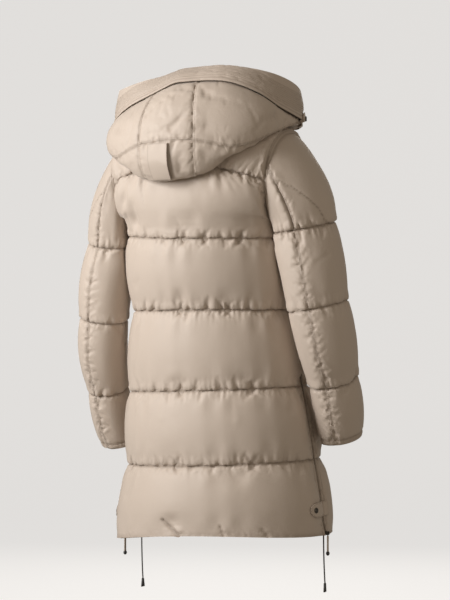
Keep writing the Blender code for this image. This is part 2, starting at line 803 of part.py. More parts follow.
def hood_root(turn):
    """Where the hood starts, just clear of the collar's outer wall, at the hood's own turn."""
    angle = math.radians(turn)
    aim = np.array((-math.sin(angle), math.cos(angle)))
    near = min(
        np.linspace(-176, 176, 353),
        key=lambda t: -aim.dot(unit(neck_point(t)[:2] - (0.0, HOOD_MIDDLE_BACK))),
    )
    base = collar_point(near, HOOD_ROOT_HEIGHT)
    sweep = math.radians(near)
    radial = np.array((-math.sin(sweep), math.cos(sweep), 0.0))
    return base + radial * (COLLAR_WALL + HOOD_WALL), unit(-radial - UP)


def hood_place(turn, name):
    """A named place of the hood's inner wall, in space."""
    size = min(abs(turn), HOOD_END)
    reach = HOOD.at(name + "_out", size)
    height = HOOD.at(name + "_up", size)
    if turn < 0:
        height -= HOOD_FALL[name] * HOOD.at("left_fall", size)
    angle = math.radians(turn)
    return np.array((-reach * math.sin(angle), HOOD_MIDDLE_BACK + reach * math.cos(angle), height))


def smooth_path(points, steps):
    """Points on a smooth curve through the given ones, with so many steps in each stretch."""
    points = np.array(points)
    spans = np.diff(points, axis=0)
    lengths = np.linalg.norm(spans, axis=1)
    aims = spans / lengths[:, None]
    headings = [aims[0]] + [unit(a + b) for a, b in zip(aims, aims[1:])] + [aims[-1]]
    path = [points[0]]
    for k, count in enumerate(steps):
        for s in range(1, count + 1):
            t = s / count
            path.append(
                (2 * t**3 - 3 * t**2 + 1) * points[k]
                + (t**3 - 2 * t**2 + t) * headings[k] * lengths[k]
                + (3 * t**2 - 2 * t**3) * points[k + 1]
                + (t**3 - t**2) * headings[k + 1] * lengths[k]
            )
    return path


HOOD_STEPS = (2, 4, 2, 4, 3)
HOOD_SEAM_ROW = sum(HOOD_STEPS[:3])
HOOD_CREASE_ROW = sum(HOOD_STEPS[:4])


def hood_turns():
    """Turns of the hood's columns, with one on each side of the centre panel."""
    side = list(np.linspace(HOOD_CENTRE_HALF, HOOD_END, HOOD_COLUMNS))
    centre = list(np.linspace(-HOOD_CENTRE_HALF, HOOD_CENTRE_HALF, 5))[1:-1]
    return [-t for t in side[::-1]] + centre + side


def hood_thickness(row, turn, path):
    """Thickness of the hood's wall at a row of its path. A short stretch can't puff far."""
    bounds = (0, HOOD_SEAM_ROW, HOOD_CREASE_ROW, sum(HOOD_STEPS))
    puffs = (HOOD_PUFF * 0.7, HOOD_PUFF, BAND_WALL - HOOD_WALL)
    k = next(k for k in range(3) if row <= bounds[k + 1])
    share = (row - bounds[k]) / (bounds[k + 1] - bounds[k])
    if k == 2:
        share = 0.15 + 0.70 * share
    span = np.linalg.norm(np.diff(path[bounds[k] : bounds[k + 1] + 1], axis=0), axis=1).sum()
    from_seam = abs(abs(turn) - HOOD_CENTRE_HALF) * math.pi / 180 * 0.18
    fill = swell(share) * (edge_softness(from_seam, 0.5, 0.025) if k < 2 else 1.0)
    if k == 0 and share < 0.6:
        fill *= 0.5
    return HOOD_WALL + min(puffs[k], 0.12 * span) * fill


def hood_grids(under):
    """(turns, inner, outer) of the hood, lifted clear of the surface it lies on."""
    turns = hood_turns()
    columns = []
    for turn in turns:
        places = [hood_root(turn)[0]] + [hood_place(turn, name) for name in HOOD_PLACES]
        columns.append(smooth_path(places, HOOD_STEPS))
    thick = [[hood_thickness(i, t, c) for i in range(len(c))] for t, c in zip(turns, columns)]
    thick = np.array(thick).T
    inner = np.array(columns).transpose(1, 0, 2)
    gaps = [HOOD_ROOT_GAP] + [HOOD_REST] * (HOOD_STEPS[0] + 3) + [HOOD_GAP] * len(inner)
    for i, j in np.ndindex(thick.shape):
        if i:
            inner[i, j] = lifted(under, inner[i, j], thick[i, j] + gaps[i])
    out = directions(inner, -1.0)
    out[0] = [hood_root(turn)[1] for turn in turns]
    outer = inner + out * thick[..., None]
    for i, j in np.ndindex(thick.shape):
        outer[i, j] = lifted(under, outer[i, j], gaps[i])
    return turns, inner, outer


# ---------------------------------------------------------------- laying one thing on another


def surface(sheets):
    """A search tree of the outer surfaces of some panels."""
    points, faces = [], []
    for sheet in sheets:
        rows, columns = sheet.shape[:2]
        start = len(points)
        points += [Vector(p) for p in sheet.reshape(-1, 3)]
        for i in range(rows - 1):
            for j in range(columns - 1):
                first = start + i * columns + j
                faces.append((first, first + columns, first + columns + 1, first + 1))
    return BVHTree.FromPolygons(points, faces)


def lifted(under, point, least):
    """The point moved off a surface until it is at least so far outside it."""
    for _ in range(4):
        near, normal, _, _ = under.find_nearest(Vector(point))
        near, normal = np.array(near), np.array(normal)
        if normal.dot(near - CHEST) < 0:
            normal = -normal
        height = normal.dot(point - near)
        if height >= least:
            break
        point = point + normal * (least - height)
    return point


def laid_on(under, places, aims, wall_gap):
    """Grid of points on a surface, met from outside along each aim, then kept a gap off it."""
    depths = np.zeros(places.shape[:2])
    for i, j in np.ndindex(depths.shape):
        start = places[i, j] - aims[i, j] * LAY_FROM
        reach = under.ray_cast(Vector(start), Vector(aims[i, j]))[3]
        depths[i, j] = 0.0 if reach is None else min(reach - LAY_FROM, 0.0)
    padded = np.pad(depths, 1, mode="edge")
    near = [padded[a : a + depths.shape[0], b : b + depths.shape[1]] for a in range(3) for b in range(3)]
    depths = np.min(near, axis=0) - wall_gap
    return places + aims * depths[..., None]


def facing(sheet, row, column, outward):
    """The direction that a sheet of points faces at one of them."""
    along = sheet[row + 1, column] - sheet[row - 1, column]
    across = sheet[row, column + 1] - sheet[row, column - 1]
    normal = unit(np.cross(along, across))
    return normal if normal.dot(outward) > 0 else -normal


def snap(name, centre, aim, finish, collection):
    """A round press stud whose back lies just off a piece, facing along aim."""
    shell = bmesh.new()
    turned = Vector(aim).to_track_quat("Z", "Y").to_matrix().to_4x4()
    place = Matrix.Translation(Vector(centre + aim * (SNAP_GAP + SNAP_HEIGHT / 2))) @ turned
    bmesh.ops.create_cone(
        shell, cap_ends=True, segments=20, radius1=SNAP_RADIUS, radius2=SNAP_RADIUS * 0.8,
        depth=SNAP_HEIGHT, matrix=place,
    )
    mesh = bpy.data.meshes.new(name)
    shell.to_mesh(mesh)
    shell.free()
    return mesh_object(name, mesh, finish, collection)


# ---------------------------------------------------------------- zips and pulls


def strip(name, first, second, aim, finish, collection):
    """The closed zip between two edges."""
    inner = np.stack([first, second], axis=1)
    wall(name, inner, inner + np.asarray(aim) * ZIP_WALL, finish, collection)
    return (inner[:, 0] + inner[:, 1]) / 2 + np.asarray(aim) * ZIP_WALL


def prism(name, outline, foot, across, aim, height, finish, collection):
    """An upright prism on an outline of (across, along aim) places."""
    shell = bmesh.new()
    base = [shell.verts.new(foot + across * a + aim * b) for a, b in outline]
    face = shell.faces.new(base)
    grown = bmesh.ops.extrude_face_region(shell, geom=[face])["geom"]
    risen = [part for part in grown if isinstance(part, bmesh.types.BMVert)]
    bmesh.ops.translate(shell, verts=risen, vec=Vector((0.0, 0.0, height)))
    bmesh.ops.recalc_face_normals(shell, faces=shell.faces)
    mesh = bpy.data.meshes.new(name)
    shell.to_mesh(mesh)
    shell.free()
    return mesh_object(name, mesh, finish, collection)


def hanging_loft(name, top, across, aim, sections, finish, collection):
    """A piece hanging from its origin: eight-sided sections at (drop, half width, half thickness)."""
    shell = bmesh.new()
    rings = []
    for drop, half_width, half_thick in sections:
        ring = []
        for k in range(8):
            angle = math.radians(22.5 + 45 * k)
            a = half_width * math.cos(angle) / math.cos(math.radians(22.5))
            b = half_thick * math.sin(angle) / math.cos(math.radians(22.5))
            ring.append(shell.verts.new(across * a + aim * b - UP * drop))
        rings.append(ring)
    for upper, lower in zip(rings, rings[1:]):
        for k in range(8):
            shell.faces.new((upper[k], upper[(k + 1) % 8], lower[(k + 1) % 8], lower[k]))
    shell.faces.new(rings[0])
    shell.faces.new(rings[-1])
    bmesh.ops.recalc_face_normals(shell, faces=shell.faces)
    mesh = bpy.data.meshes.new(name)
    shell.to_mesh(mesh)
    shell.free()
    made = mesh_object(name, mesh, finish, collection)
    made.location = top
    return made


def slider_and_pull(word, foot, aim, reach, metal, cloth, collection):
    """A slider on a closed zip, and the pull hanging from the pin between its lugs."""
    aim = np.asarray(aim, dtype=float)
    across = np.cross(UP, aim)
    near, far = SEAM_GAP, reach + 0.0022
    half, slot, floor = 0.0033, 0.0019, reach - 0.0029
    outline = (
        (-half, near), (half, near), (half, far), (slot, far),
        (slot, floor), (-slot, floor), (-slot, far), (-half, far),
    )
    prism(word + "_slider", outline, foot, across, aim, SLIDER_HEIGHT, metal, collection)
    hinge = foot + aim * reach + UP * SLIDER_HEIGHT / 2
    hanging_loft(word + "_pull", hinge, across, aim, PULL_SECTIONS, cloth, collection)


# ---------------------------------------------------------------- cords


def cord(name, path, finish, collection):
    curve = bpy.data.curves.new(name, "CURVE")
    curve.dimensions = "3D"
    curve.bevel_depth = CORD_RADIUS
    curve.bevel_resolution = 2
    curve.use_fill_caps = True
    line = curve.splines.new("POLY")
    line.points.add(len(path) - 1)
    for point, place in zip(line.points, path):
        point.co = (*place, 1.0)
    made = bpy.data.objects.new(name, curve)
    curve.materials.append(finish)
    collection.objects.link(made)
    return made


# ---------------------------------------------------------------- building


def build():
    clear_scene()
    coat = bpy.data.collections.new("long_puffer_coat")
    bpy.context.scene.collection.children.link(coat)
    shell = material("padded_shell", (0.52, 0.43, 0.34), 0.62)
    tape = material("zip_tape", (0.30, 0.25, 0.20), 0.55)
    metal = material("dark_metal", (0.10, 0.09, 0.08), 0.35, 0.9)
    cord_cloth = material("dark_cord", (0.05, 0.05, 0.05), 0.7)
    rubber = material("cord_end_plastic", (0.02, 0.02, 0.02), 0.45)

    panels = {}
    for kind in ("back", "front_left", "front_right"):
        panels[kind] = body_panel(kind)
        wall(kind, *panels[kind], shell, coat)
    sheets = [outer for _, outer in panels.values()]

    collar_inner, collar_outer = collar_grids()
    wall("collar", collar_inner, collar_outer, shell, coat)
    sheets.append(collar_outer)

    for side, word in ((1, "left"), (-1, "right")):
        inner, outer = sleeve_grids(side)
        sheets.append(outer[:, 4:15])
        first, last = UPPER_SLEEVE_FROM, UPPER_SLEEVE_TO
        upper = slice(first, last + 1)
        wall("sleeve_upper_" + word, inner[:, upper], outer[:, upper], shell, coat)
        under = list(range(last, inner.shape[1] - 1)) + list(range(first + 1))
        wall("sleeve_under_" + word, inner[:, under], outer[:, under], shell, coat)

    body = surface(sheets)
    turns, inner, outer = hood_grids(body)
    centre = [k for k, t in enumerate(turns) if abs(t) <= HOOD_CENTRE_HALF + 1e-6]
    parts = {
        "left": slice(0, centre[0] + 1),
        "centre": slice(centre[0], centre[-1] + 1),
        "right": slice(centre[-1], len(turns)),
    }
    stretches = {
        "hood_base_": slice(0, HOOD_SEAM_ROW + 1),
        "hood_top_": slice(HOOD_SEAM_ROW, HOOD_CREASE_ROW + 1),
    }
    for stretch, rows in stretches.items():
        for word, columns in parts.items():
            wall(stretch + word, inner[rows, columns], outer[rows, columns], shell, coat)
    band = slice(HOOD_CREASE_ROW, inner.shape[0])
    wall("hood_band", inner[band], outer[band], shell, coat)

    add_strap(surface([outer]), shell, coat)
    add_throat_tab(surface([outer]), shell, metal, coat)
    add_side_zips(panels, shell, tape, metal, coat)
    add_front_zip(panels, collar_inner, shell, tape, metal, coat)
    add_drawcords(panels, cord_cloth, rubber, coat)


def collar_grids():
    turns = neck_turns()
    inner = np.array(
        [[neck_column(t) + collar_point(t, h) - neck_point(t) for t in turns] for h in COLLAR_ROWS]
    )
    out = np.zeros_like(inner)
    out[:] = [unit(neck_direction(p) * (1.0, 1.0, 0.0)) for p in inner[0]]
    out[0] = [neck_direction(p) for p in inner[0]]
    thick = np.full(inner.shape[:2], COLLAR_WALL)
    thick[0] = SHOULDER_WALL
    return inner, inner + out * thick[..., None]


def around_hood(turn, height):
    """(place on the hood's middle line, aim from outside towards it)."""
    angle = math.radians(turn)
    return (
        np.array((0.0, HOOD_MIDDLE_BACK, height)),
        np.array((math.sin(angle), -math.cos(angle), 0.0)),
    )


def ray_grid(rows):
    places = np.array([[place for place, _ in row] for row in rows])
    aims = np.array([[aim for _, aim in row] for row in rows])
    return places, aims


def add_strap(hood, shell, coat):
    heights = np.linspace(*STRAP_HEIGHTS, 7)
    turns = np.linspace(*STRAP_TURNS, 5)
    places, aims = ray_grid([[around_hood(t, h) for t in turns] for h in heights])
    inner = laid_on(hood, places, aims, LAID_GAP)
    wall("hood_strap", inner, inner - aims * TAB_WALL, shell, coat)


def tab_halves(steps):
    """Half heights along a tab, from its sewn end to its rounded one."""
    return [TAB_HALF * math.sqrt(max(0.0, 1 - max(0.0, (t - 0.72) / 0.29) ** 2)) for t in steps]


def add_throat_tab(hood, shell, metal, coat):
    steps = np.linspace(0, 1, 17)
    turns = THROAT_TURNS[0] + (THROAT_TURNS[1] - THROAT_TURNS[0]) * steps
    halves = tab_halves(steps)
    rows, drops = [], []
    for across in (-1, -0.67, -0.33, 0, 0.33, 0.67, 1):
        heights = [THROAT_HEIGHT + across * h for h in halves]
        rows.append([around_hood(t, max(h, THROAT_LEAST)) for t, h in zip(turns, heights)])
        drops.append([h - max(h, THROAT_LEAST) for h in heights])
    places, aims = ray_grid(rows)
    inner = laid_on(hood, places, aims, LAID_GAP)
    inner[..., 2] += np.array(drops)
    outer = inner - aims * TAB_WALL
    wall("throat_tab", inner, outer, shell, coat)
    snap("throat_snap", outer[3, 14], facing(outer, 3, 14, -aims[3, 14]), metal, coat)


def add_side_zips(panels, shell, tape, metal, coat):
    opened = zip_rows()[1]
    count = sum(drop >= opened - 1e-6 for drop, _ in lower_rows())
    for side, word, edge in ((1, "left", 0), (-1, "right", -1)):
        aim = np.array((float(side), 0.0, 0.0))
        back, front = panels["back"], panels["front_" + word]
        rail = strip(
            "side_zip_" + word, back[0][:count, edge], front[0][:count, 0], aim, tape, coat
        )
        foot = rail[0] + UP * SLIDER_LIFT
        slider_and_pull("side_" + word, foot, aim, SIDE_REACH, metal, shell, coat)
        steps = np.linspace(0, 1, 11)
        turns = SIDE_TAB_TURNS[0] + (SIDE_TAB_TURNS[1] - SIDE_TAB_TURNS[0]) * steps
        rows = []
        for across in (-1, -0.5, 0, 0.5, 1):
            row = []
            for turn, half in zip(turns, tab_halves(steps)):
                place = body_point(SIDE_TAB_DROP - across * half, -side * turn)
                row.append((place, np.array((-side * math.sin(math.radians(turn)),
                                             -math.cos(math.radians(turn)), 0.0))))
            rows.append(row)
        places, aims = ray_grid(rows)
        inner = laid_on(surface([back[1], front[1]]), places, aims, LAID_GAP)
        outer = inner - aims * TAB_WALL
        wall("side_tab_" + word, inner, outer, shell, coat)
        aim = facing(outer, 2, 8, -aims[2, 8])
        snap("side_snap_" + word, outer[2, 8], aim, metal, coat)


def add_front_zip(panels, collar_inner, shell, tape, metal, coat):
    left = np.concatenate([panels["front_left"][0][:, -1], collar_inner[1:, 0]])
    right = np.concatenate([panels["front_right"][0][:, -1], collar_inner[1:, -1]])
    aim = np.array((0.0, -1.0, 0.0))
    rail = strip("front_zip", left, right, aim, tape, coat)
    foot = rail[-1] + (aim * COLLAR_LEAN - UP) * FRONT_SLIDER_DROP
    slider_and_pull("front", foot, aim, FRONT_REACH, metal, shell, coat)


def hem_height(panels, kind, turn):
    """Height of the hem's lower face at a turn."""
    drop = QUILTS[-1]
    turns = np.array(back_turns(drop) if kind == "back" else front_turns(1, drop))
    inner, outer = panels[kind]
    heights = (inner[0, :, 2] + outer[0, :, 2]) / 2
    order = np.argsort(turns)
    return np.interp(turn, turns[order], heights[order])


def add_drawcords(panels, cord_cloth, rubber, coat):
    for word, kind, turn, length, sway in DRAWCORDS:
        drop = QUILTS[-1]
        place = body_point(drop, turn)
        place[2] = hem_height(panels, kind, turn)
        aim = unit(np.array((place[0] - BODY.at("to_left", drop), place[1] - BODY.at("to_back", drop), 0)))
        top = place + aim * HEM_WALL / 2 - UP * CORD_START
        steps = np.linspace(0, 1, 15)
        path = [top - UP * length * t + np.array((sway * t * t, 0.0, 0.0)) for t in steps]
        cord("hem_drawcord_" + word, path, cord_cloth, coat)
        across = np.cross(UP, aim)
        foot = path[-1] - UP * SEAM_GAP
        hanging_loft("cord_end_" + word, foot, across, aim, CORD_END_SECTIONS, rubber, coat)


build()
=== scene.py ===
# %% [markdown]
# # A long puffer coat, worn and left hollow
# The coat has padded walls, sewn across in channels. A wide hood lies folded on the shoulders. A
# zip runs up each side seam from the hem, and a drawcord runs in the hem. The solids of every piece
# are loaded first, so that all that follows lies in one frame. Each solid is then dressed with a
# sheet of cloth that is filled, pinched at its seams and stitched.

# %% Load the frame
import collections
import json
import math

import bmesh
import bpy
import numpy as np
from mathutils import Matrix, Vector
from mathutils.bvhtree import BVHTree

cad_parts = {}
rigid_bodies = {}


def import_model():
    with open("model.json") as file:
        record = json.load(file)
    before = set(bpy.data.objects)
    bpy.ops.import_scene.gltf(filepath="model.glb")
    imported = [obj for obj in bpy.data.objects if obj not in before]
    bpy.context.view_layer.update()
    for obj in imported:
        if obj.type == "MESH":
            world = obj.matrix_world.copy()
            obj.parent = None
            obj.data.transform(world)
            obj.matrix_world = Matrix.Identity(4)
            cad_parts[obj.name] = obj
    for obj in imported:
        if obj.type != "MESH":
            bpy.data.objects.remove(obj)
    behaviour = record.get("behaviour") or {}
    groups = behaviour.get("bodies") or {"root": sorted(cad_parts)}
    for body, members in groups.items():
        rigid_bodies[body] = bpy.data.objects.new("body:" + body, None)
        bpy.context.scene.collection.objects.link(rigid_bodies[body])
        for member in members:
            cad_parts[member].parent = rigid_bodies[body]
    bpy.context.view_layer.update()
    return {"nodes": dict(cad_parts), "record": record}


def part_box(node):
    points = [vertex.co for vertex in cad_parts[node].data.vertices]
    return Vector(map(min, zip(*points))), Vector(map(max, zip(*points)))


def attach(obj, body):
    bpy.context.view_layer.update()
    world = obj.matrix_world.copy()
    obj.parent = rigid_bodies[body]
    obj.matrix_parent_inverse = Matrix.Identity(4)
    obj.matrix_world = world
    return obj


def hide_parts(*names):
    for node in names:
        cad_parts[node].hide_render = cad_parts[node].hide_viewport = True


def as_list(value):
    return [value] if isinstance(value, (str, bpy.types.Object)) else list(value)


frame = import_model()

# %% [markdown]
# ## The camera
# The coat is seen from behind its right side, level with the waist. The camera stands well back
# and has a long lens. A short lens from close by would show the coat too, but it would stretch the
# shoulders and the hem. The turn and the distance are named sizes, so each can be changed alone.

# %% Camera
VIEW_TURN = math.radians(28)
VIEW_DISTANCE = 3.6
VIEW_HEIGHT = -0.392
VIEW_SHIFT = 0.0186
FRAME_HEIGHT_PX, FOCAL_PX = 600, 1747
SENSOR_HEIGHT_MM = 36.0


def linked(name, data):
    """A new object in the scene, made of its data."""
    made = bpy.data.objects.new(name, data)
    bpy.context.scene.collection.objects.link(made)
    return made


forward = Vector((math.sin(VIEW_TURN), -math.cos(VIEW_TURN), 0.0))
rightward = Vector((-math.cos(VIEW_TURN), -math.sin(VIEW_TURN), 0.0))
lens = bpy.data.cameras.new("coat_view")
lens.sensor_fit = "VERTICAL"
lens.sensor_height = SENSOR_HEIGHT_MM
lens.lens = SENSOR_HEIGHT_MM * FOCAL_PX / FRAME_HEIGHT_PX
camera = linked("coat_view", lens)
camera.location = -VIEW_DISTANCE * forward + VIEW_SHIFT * rightward + Vector((0, 0, VIEW_HEIGHT))
camera.rotation_euler = forward.to_track_quat("-Z", "Y").to_euler()
bpy.context.scene.camera = camera
print("lens:", round(lens.lens, 1), "mm")

# %% [markdown]
# ## The coat's form
# A garment is a few closed curves, one above the other, joined by cloth. Tables hold the sizes of
# each curve by its drop below the neck, and a smooth curve is read between the rows. The same sizes
# made the solids, so every sheet lies where its solid is.

# %% Sizes
QUILTS = (0.120, 0.264, 0.412, 0.573, 0.722, 0.877)  # drops of the body's quilting and of its hem
UNDERARM = 0.228
CHANNEL_STEPS = (0.0, 0.14, 0.36, 0.64, 0.86)  # where the rows lie between two lines of quilting
ZIP_STEPS = (0.0, 0.14, 0.36, 0.64, 0.83, 0.87)  # the same in the channel where the side zips start
YOKE_SHARE = 0.474  # the yoke's line of quilting, from the underarm at 0 to the shoulder at 1
UPPER_SHARES = (0.0, 0.11, 0.23, 0.35, YOKE_SHARE, 0.59, 0.71, 0.82, 0.92, 1.0)

NECK_HALF_WIDTH = 0.080
NECK_BACK = 0.072
NECK_FRONT = 0.085
NECK_MIDDLE_DROP = 0.020
NECK_BACK_RISE = 0.022
NECK_FRONT_FALL = 0.035
SHOULDER = (0.186, 0.034, 0.056)  # out from the middle, towards the back, drop
LEFT_SHOULDER_FALL = 0.010  # how much lower the wearer's left shoulder stands
LEFT_SLEEVE_FALL = 0.027
ARMHOLE_HALF_DEPTH = 0.080
ARMHOLE_HOLLOW = 0.004
ARMHOLE_TOP_LEAN = 0.35
FRONT_BOW, FRONT_BOW_LIFT = 0.016, 0.4  # how far the front's edge stands out over the chest

SEAM_WALL = 0.005
ARMHOLE_WALL = 0.0045
SHOULDER_WALL = 0.006
HEM_WALL = 0.009
LEAST_WALL = 0.0038
BODY_PUFF = 0.0155
UPPER_PUFF = 0.85  # a share of the body's, between the underarm and the yoke
YOKE_PUFF = 0.009
SLEEVE_PUFF = 0.0095
CONTACT_GAP = 0.0006
CONTACT_WALL = 0.0042

ZIP_CHANNEL = 2
ZIP_HALF_GAP = 0.0040
ZIP_WALL = 0.0035
COLLAR_ROWS = (0.0, 0.010, 0.028, 0.048)
COLLAR_WALL = 0.007
COLLAR_LEAN = 0.10

BACK_COLUMNS = 28
SHOULDER_COLUMNS = 8
FRONT_NECK_COLUMNS = 4
FRONT_COLUMNS = SHOULDER_COLUMNS + FRONT_NECK_COLUMNS
ARM_ROWS = len(UPPER_SHARES) - 1  # steps from the underarm to the shoulder, at back and at front
UP = np.array((0.0, 0.0, 1.0))
print("lines of quilting below the neck (m):", QUILTS[:-1], "hem:", QUILTS[-1])

# %% Tables, and the height of the filling
SWELL_POWER = 0.7  # less than 1 makes a channel fuller beside its thread
GATHER_WAVES = ((0.6, 0.39, 40), (0.4, 0.47, 90))  # size, waves for a turn and for a drop


def curve_shares(t):
    """What the start, its slope, the end and its slope each add to a smooth curve, at a share t."""
    return 2 * t**3 - 3 * t**2 + 1, t**3 - 2 * t**2 + t, 3 * t**2 - 2 * t**3, t**3 - t**2


class Table:
    """Rows of named numbers, read between the rows on a smooth curve through them."""

    def __init__(self, columns, rows):
        self.columns = columns
        self.rows = np.array(rows, dtype=float)

    def at(self, name, place):
        places = self.rows[:, 0]
        values = self.rows[:, self.columns.index(name)]
        slopes = np.gradient(values, places)
        k = int(np.clip(np.searchsorted(places, place) - 1, 0, len(places) - 2))
        span = places[k + 1] - places[k]
        low, leave, high, arrive = curve_shares(min(max((place - places[k]) / span, 0.0), 1.0))
        value = low * values[k] + leave * span * slopes[k]
        return value + high * values[k + 1] + arrive * span * slopes[k + 1]


def unit(vector):
    return vector / np.linalg.norm(vector)


def ease(t):
    """0 to 1 with level ends."""
    t = np.clip(t, 0.0, 1.0)
    return t * t * (3 - 2 * t)


def channel_rows(drops, zip_channel=None):
    """(drop, share of the channel) of every row, from the first drop to the last."""
    rows = []
    for k, (upper, lower) in enumerate(zip(drops, drops[1:])):
        steps = ZIP_STEPS if k == zip_channel else CHANNEL_STEPS
        rows += [(upper + (lower - upper) * t, t) for t in steps]
    return rows + [(drops[-1], 1.0)]


def swell(share):
    """Height of the filling between two lines of quilting, from 0 at a line to 1."""
    return math.sin(math.pi * share) ** SWELL_POWER if 0 < share < 1 else 0.0


def crinkled(amount, turn, drop, share):
    """Uneven waves in the filling, full at a line of quilting and gone in mid channel."""
    wave = sum(size * math.sin(a * turn + b * drop) for size, a, b in GATHER_WAVES)
    return 1 + amount * wave * (1 - swell(share) ** 2)


print("filling at a tenth and a quarter of a channel:", round(swell(0.1), 2), round(swell(0.25), 2))

# %% Body tables
# Inner wall of the body at each level. to_left and to_back place the middle of the section, lean is
# how many degrees its right side rises over its left, and lift is how far its back rides up.
BODY = Table(
    ("drop", "half_width", "back", "front", "to_left", "to_back", "lean", "lift"),
    (
        (0.228, 0.1660, 0.122, 0.124, 0.000, 0.036, -1.5, -0.006),
        (0.264, 0.1670, 0.124, 0.125, 0.000, 0.034, -1.5, -0.006),
        (0.412, 0.1686, 0.127, 0.128, -0.002, 0.010, 0.5, 0.000),
        (0.573, 0.1870, 0.139, 0.141, -0.004, -0.002, 2.6, 0.000),
        (0.722, 0.2020, 0.151, 0.153, -0.013, -0.008, 3.0, 0.000),
        (0.877, 0.2255, 0.168, 0.170, -0.013, -0.008, 3.8, 0.018),
    ),
)

# How far back the middle of the back lies, from the underarm's level at 0 to the neck at 1.
BACK_PROFILE = Table(
    ("share", "back"),
    (
        (0.00, 0.158), (0.23, 0.160), (YOKE_SHARE, 0.157), (0.71, 0.142), (0.82, 0.126),
        (0.92, 0.102), (1.00, 0.072),
    ),
)

# How far the wall may stand out of the body's side where a sleeve lies against it.
SIDE_ROOM = Table(
    ("drop", "room"),
    (
        (0.228, 0.0000), (0.240, 0.0038), (0.264, 0.0060), (0.340, 0.0090), (0.412, 0.0140),
        (0.490, 0.0160), (0.575, 0.0200), (0.650, 0.0210), (0.700, 0.0300), (0.760, 0.0800),
        (0.900, 0.0800),
    ),
)

# Each fold dents the outer wall of the back: turn from the middle of the back (degrees), drop of
# its middle, half length, half width, depth, and how many degrees it leans from upright.
FOLD_COLUMNS = ("turn", "drop", "half_length", "half_width", "depth", "lean")
BACK_FOLDS = (
    (-38, 0.235, 0.050, 0.012, 0.010, 8),
    (-52, 0.170, 0.030, 0.012, 0.008, 0),
    (7, 0.235, 0.030, 0.016, 0.006, -20),
    (-1, 0.400, 0.020, 0.012, 0.006, 0),
    (32, 0.405, 0.020, 0.012, 0.005, 15),
    (-4, 0.565, 0.022, 0.012, 0.006, 0),
    (40, 0.560, 0.022, 0.014, 0.006, 0),
    (-9, 0.720, 0.025, 0.014, 0.007, 0),
    (28, 0.740, 0.030, 0.014, 0.006, 10),
    (-7, 0.850, 0.024, 0.014, 0.009, 35),
)
print("levels of the body:", len(BODY.rows), "folds of the back:", len(BACK_FOLDS))

# %% [markdown]
# A pattern cutter gets a panel by drawing its seams and then the cloth between them. The same is
# done here: functions give a point on the body, on the neck and round the armhole. Both of the
# pieces that meet at a seam ask the same function, so their edges meet without a gap.

# %% Body curves
def directions(grid, sign):
    """The outward direction at each point of a grid."""
    along = np.gradient(grid, axis=0)
    across = np.gradient(grid, axis=1)
    normal = np.cross(along, across) * sign
    return normal / np.maximum(np.linalg.norm(normal, axis=-1, keepdims=True), 1e-12)


def body_point(drop, turn):
    """Inner wall at a drop, and a turn (degrees) from mid back towards the wearer's right."""
    angle = math.radians(turn)
    half_width = BODY.at("half_width", drop)
    depth = BODY.at("back" if math.cos(angle) > 0 else "front", drop)
    x = -half_width * math.sin(angle)
    y = depth * math.cos(angle)
    rise = -x * math.tan(math.radians(BODY.at("lean", drop)))
    rise += BODY.at("lift", drop) * max(math.cos(angle), 0.0) ** 2
    return np.array((x + BODY.at("to_left", drop), y + BODY.at("to_back", drop), rise - drop))


def side_limit(side, drop):
    """|x| of the surface that parts a sleeve from the body's side."""
    low = -armhole_point(side, 0)[2]
    if drop < low:
        top = (low - drop) / (low + armhole_point(side, 180)[2])
        angle = math.degrees(math.acos(1 - 2 * min(top, 1.0)))
        return abs(armhole_point(side, angle)[0])
    below = drop - low + UNDERARM
    return abs(body_point(below, -90 * side)[0]) + SIDE_ROOM.at("room", below)


def neck_point(turn):
    angle = math.radians(turn)
    back = math.cos(angle) > 0
    lift = NECK_BACK_RISE if back else NECK_FRONT_FALL
    depth = NECK_BACK if back else NECK_FRONT
    height = -NECK_MIDDLE_DROP + lift * math.cos(angle)
    return np.array((-NECK_HALF_WIDTH * math.sin(angle), depth * math.cos(angle), height))


def armhole_point(side, angle):
    """The seam round the arm: angle 0 at the underarm, 90 at the back and 180 at the shoulder."""
    under = body_point(UNDERARM, -90 * side)
    out, back, drop = SHOULDER
    if side > 0:
        drop += LEFT_SHOULDER_FALL
    top = np.array((out * side, back, -drop))
    sweep = math.radians(angle)
    hollow = np.array((-ARMHOLE_HOLLOW * side, ARMHOLE_HALF_DEPTH, 0.0))
    if angle > 180:
        hollow[0] = -hollow[0]
    return (under + top) / 2 - (top - under) / 2 * math.cos(sweep) + hollow * math.sin(sweep)


def armhole_direction(side, angle):
    """Which way both walls thicken at the armhole: away from the arm, and outward on top."""
    sweep = math.radians(angle)
    outward = ARMHOLE_TOP_LEAN * (1 - math.cos(sweep)) / 2
    return unit(np.array((outward * side, math.sin(sweep), -math.cos(sweep))))


def shoulder_point(side, share):
    """Along the shoulder seam, from the shoulder at 0 to the neck at 1."""
    start = armhole_point(side, 180)
    end = neck_point(-90 * side)
    return start + (end - start) * share


def shoulder_direction(side, share):
    start = armhole_direction(side, 180)
    end = neck_direction(neck_point(-90 * side))
    return unit(start * (1 - share) + end * share)


def neck_direction(point):
    """Which way both walls thicken at the neck's seam."""
    return unit(np.array((point[0], point[1], math.hypot(point[0], point[1]))))


def zip_rows():
    """Drops between which the side edges part for the zip."""
    upper, lower = QUILTS[ZIP_CHANNEL], QUILTS[ZIP_CHANNEL + 1]
    return [upper + (lower - upper) * t for t in ZIP_STEPS[-2:]]


def zip_turn(drop):
    """How many degrees of turn the side edges stand back from the zip's middle line."""
    closed, opened = zip_rows()
    step = ease((drop - closed) / (opened - closed))
    return math.degrees(ZIP_HALF_GAP * step / BODY.at("back", drop))


def front_turn(drop):
    return math.degrees(ZIP_HALF_GAP / BODY.at("half_width", drop))


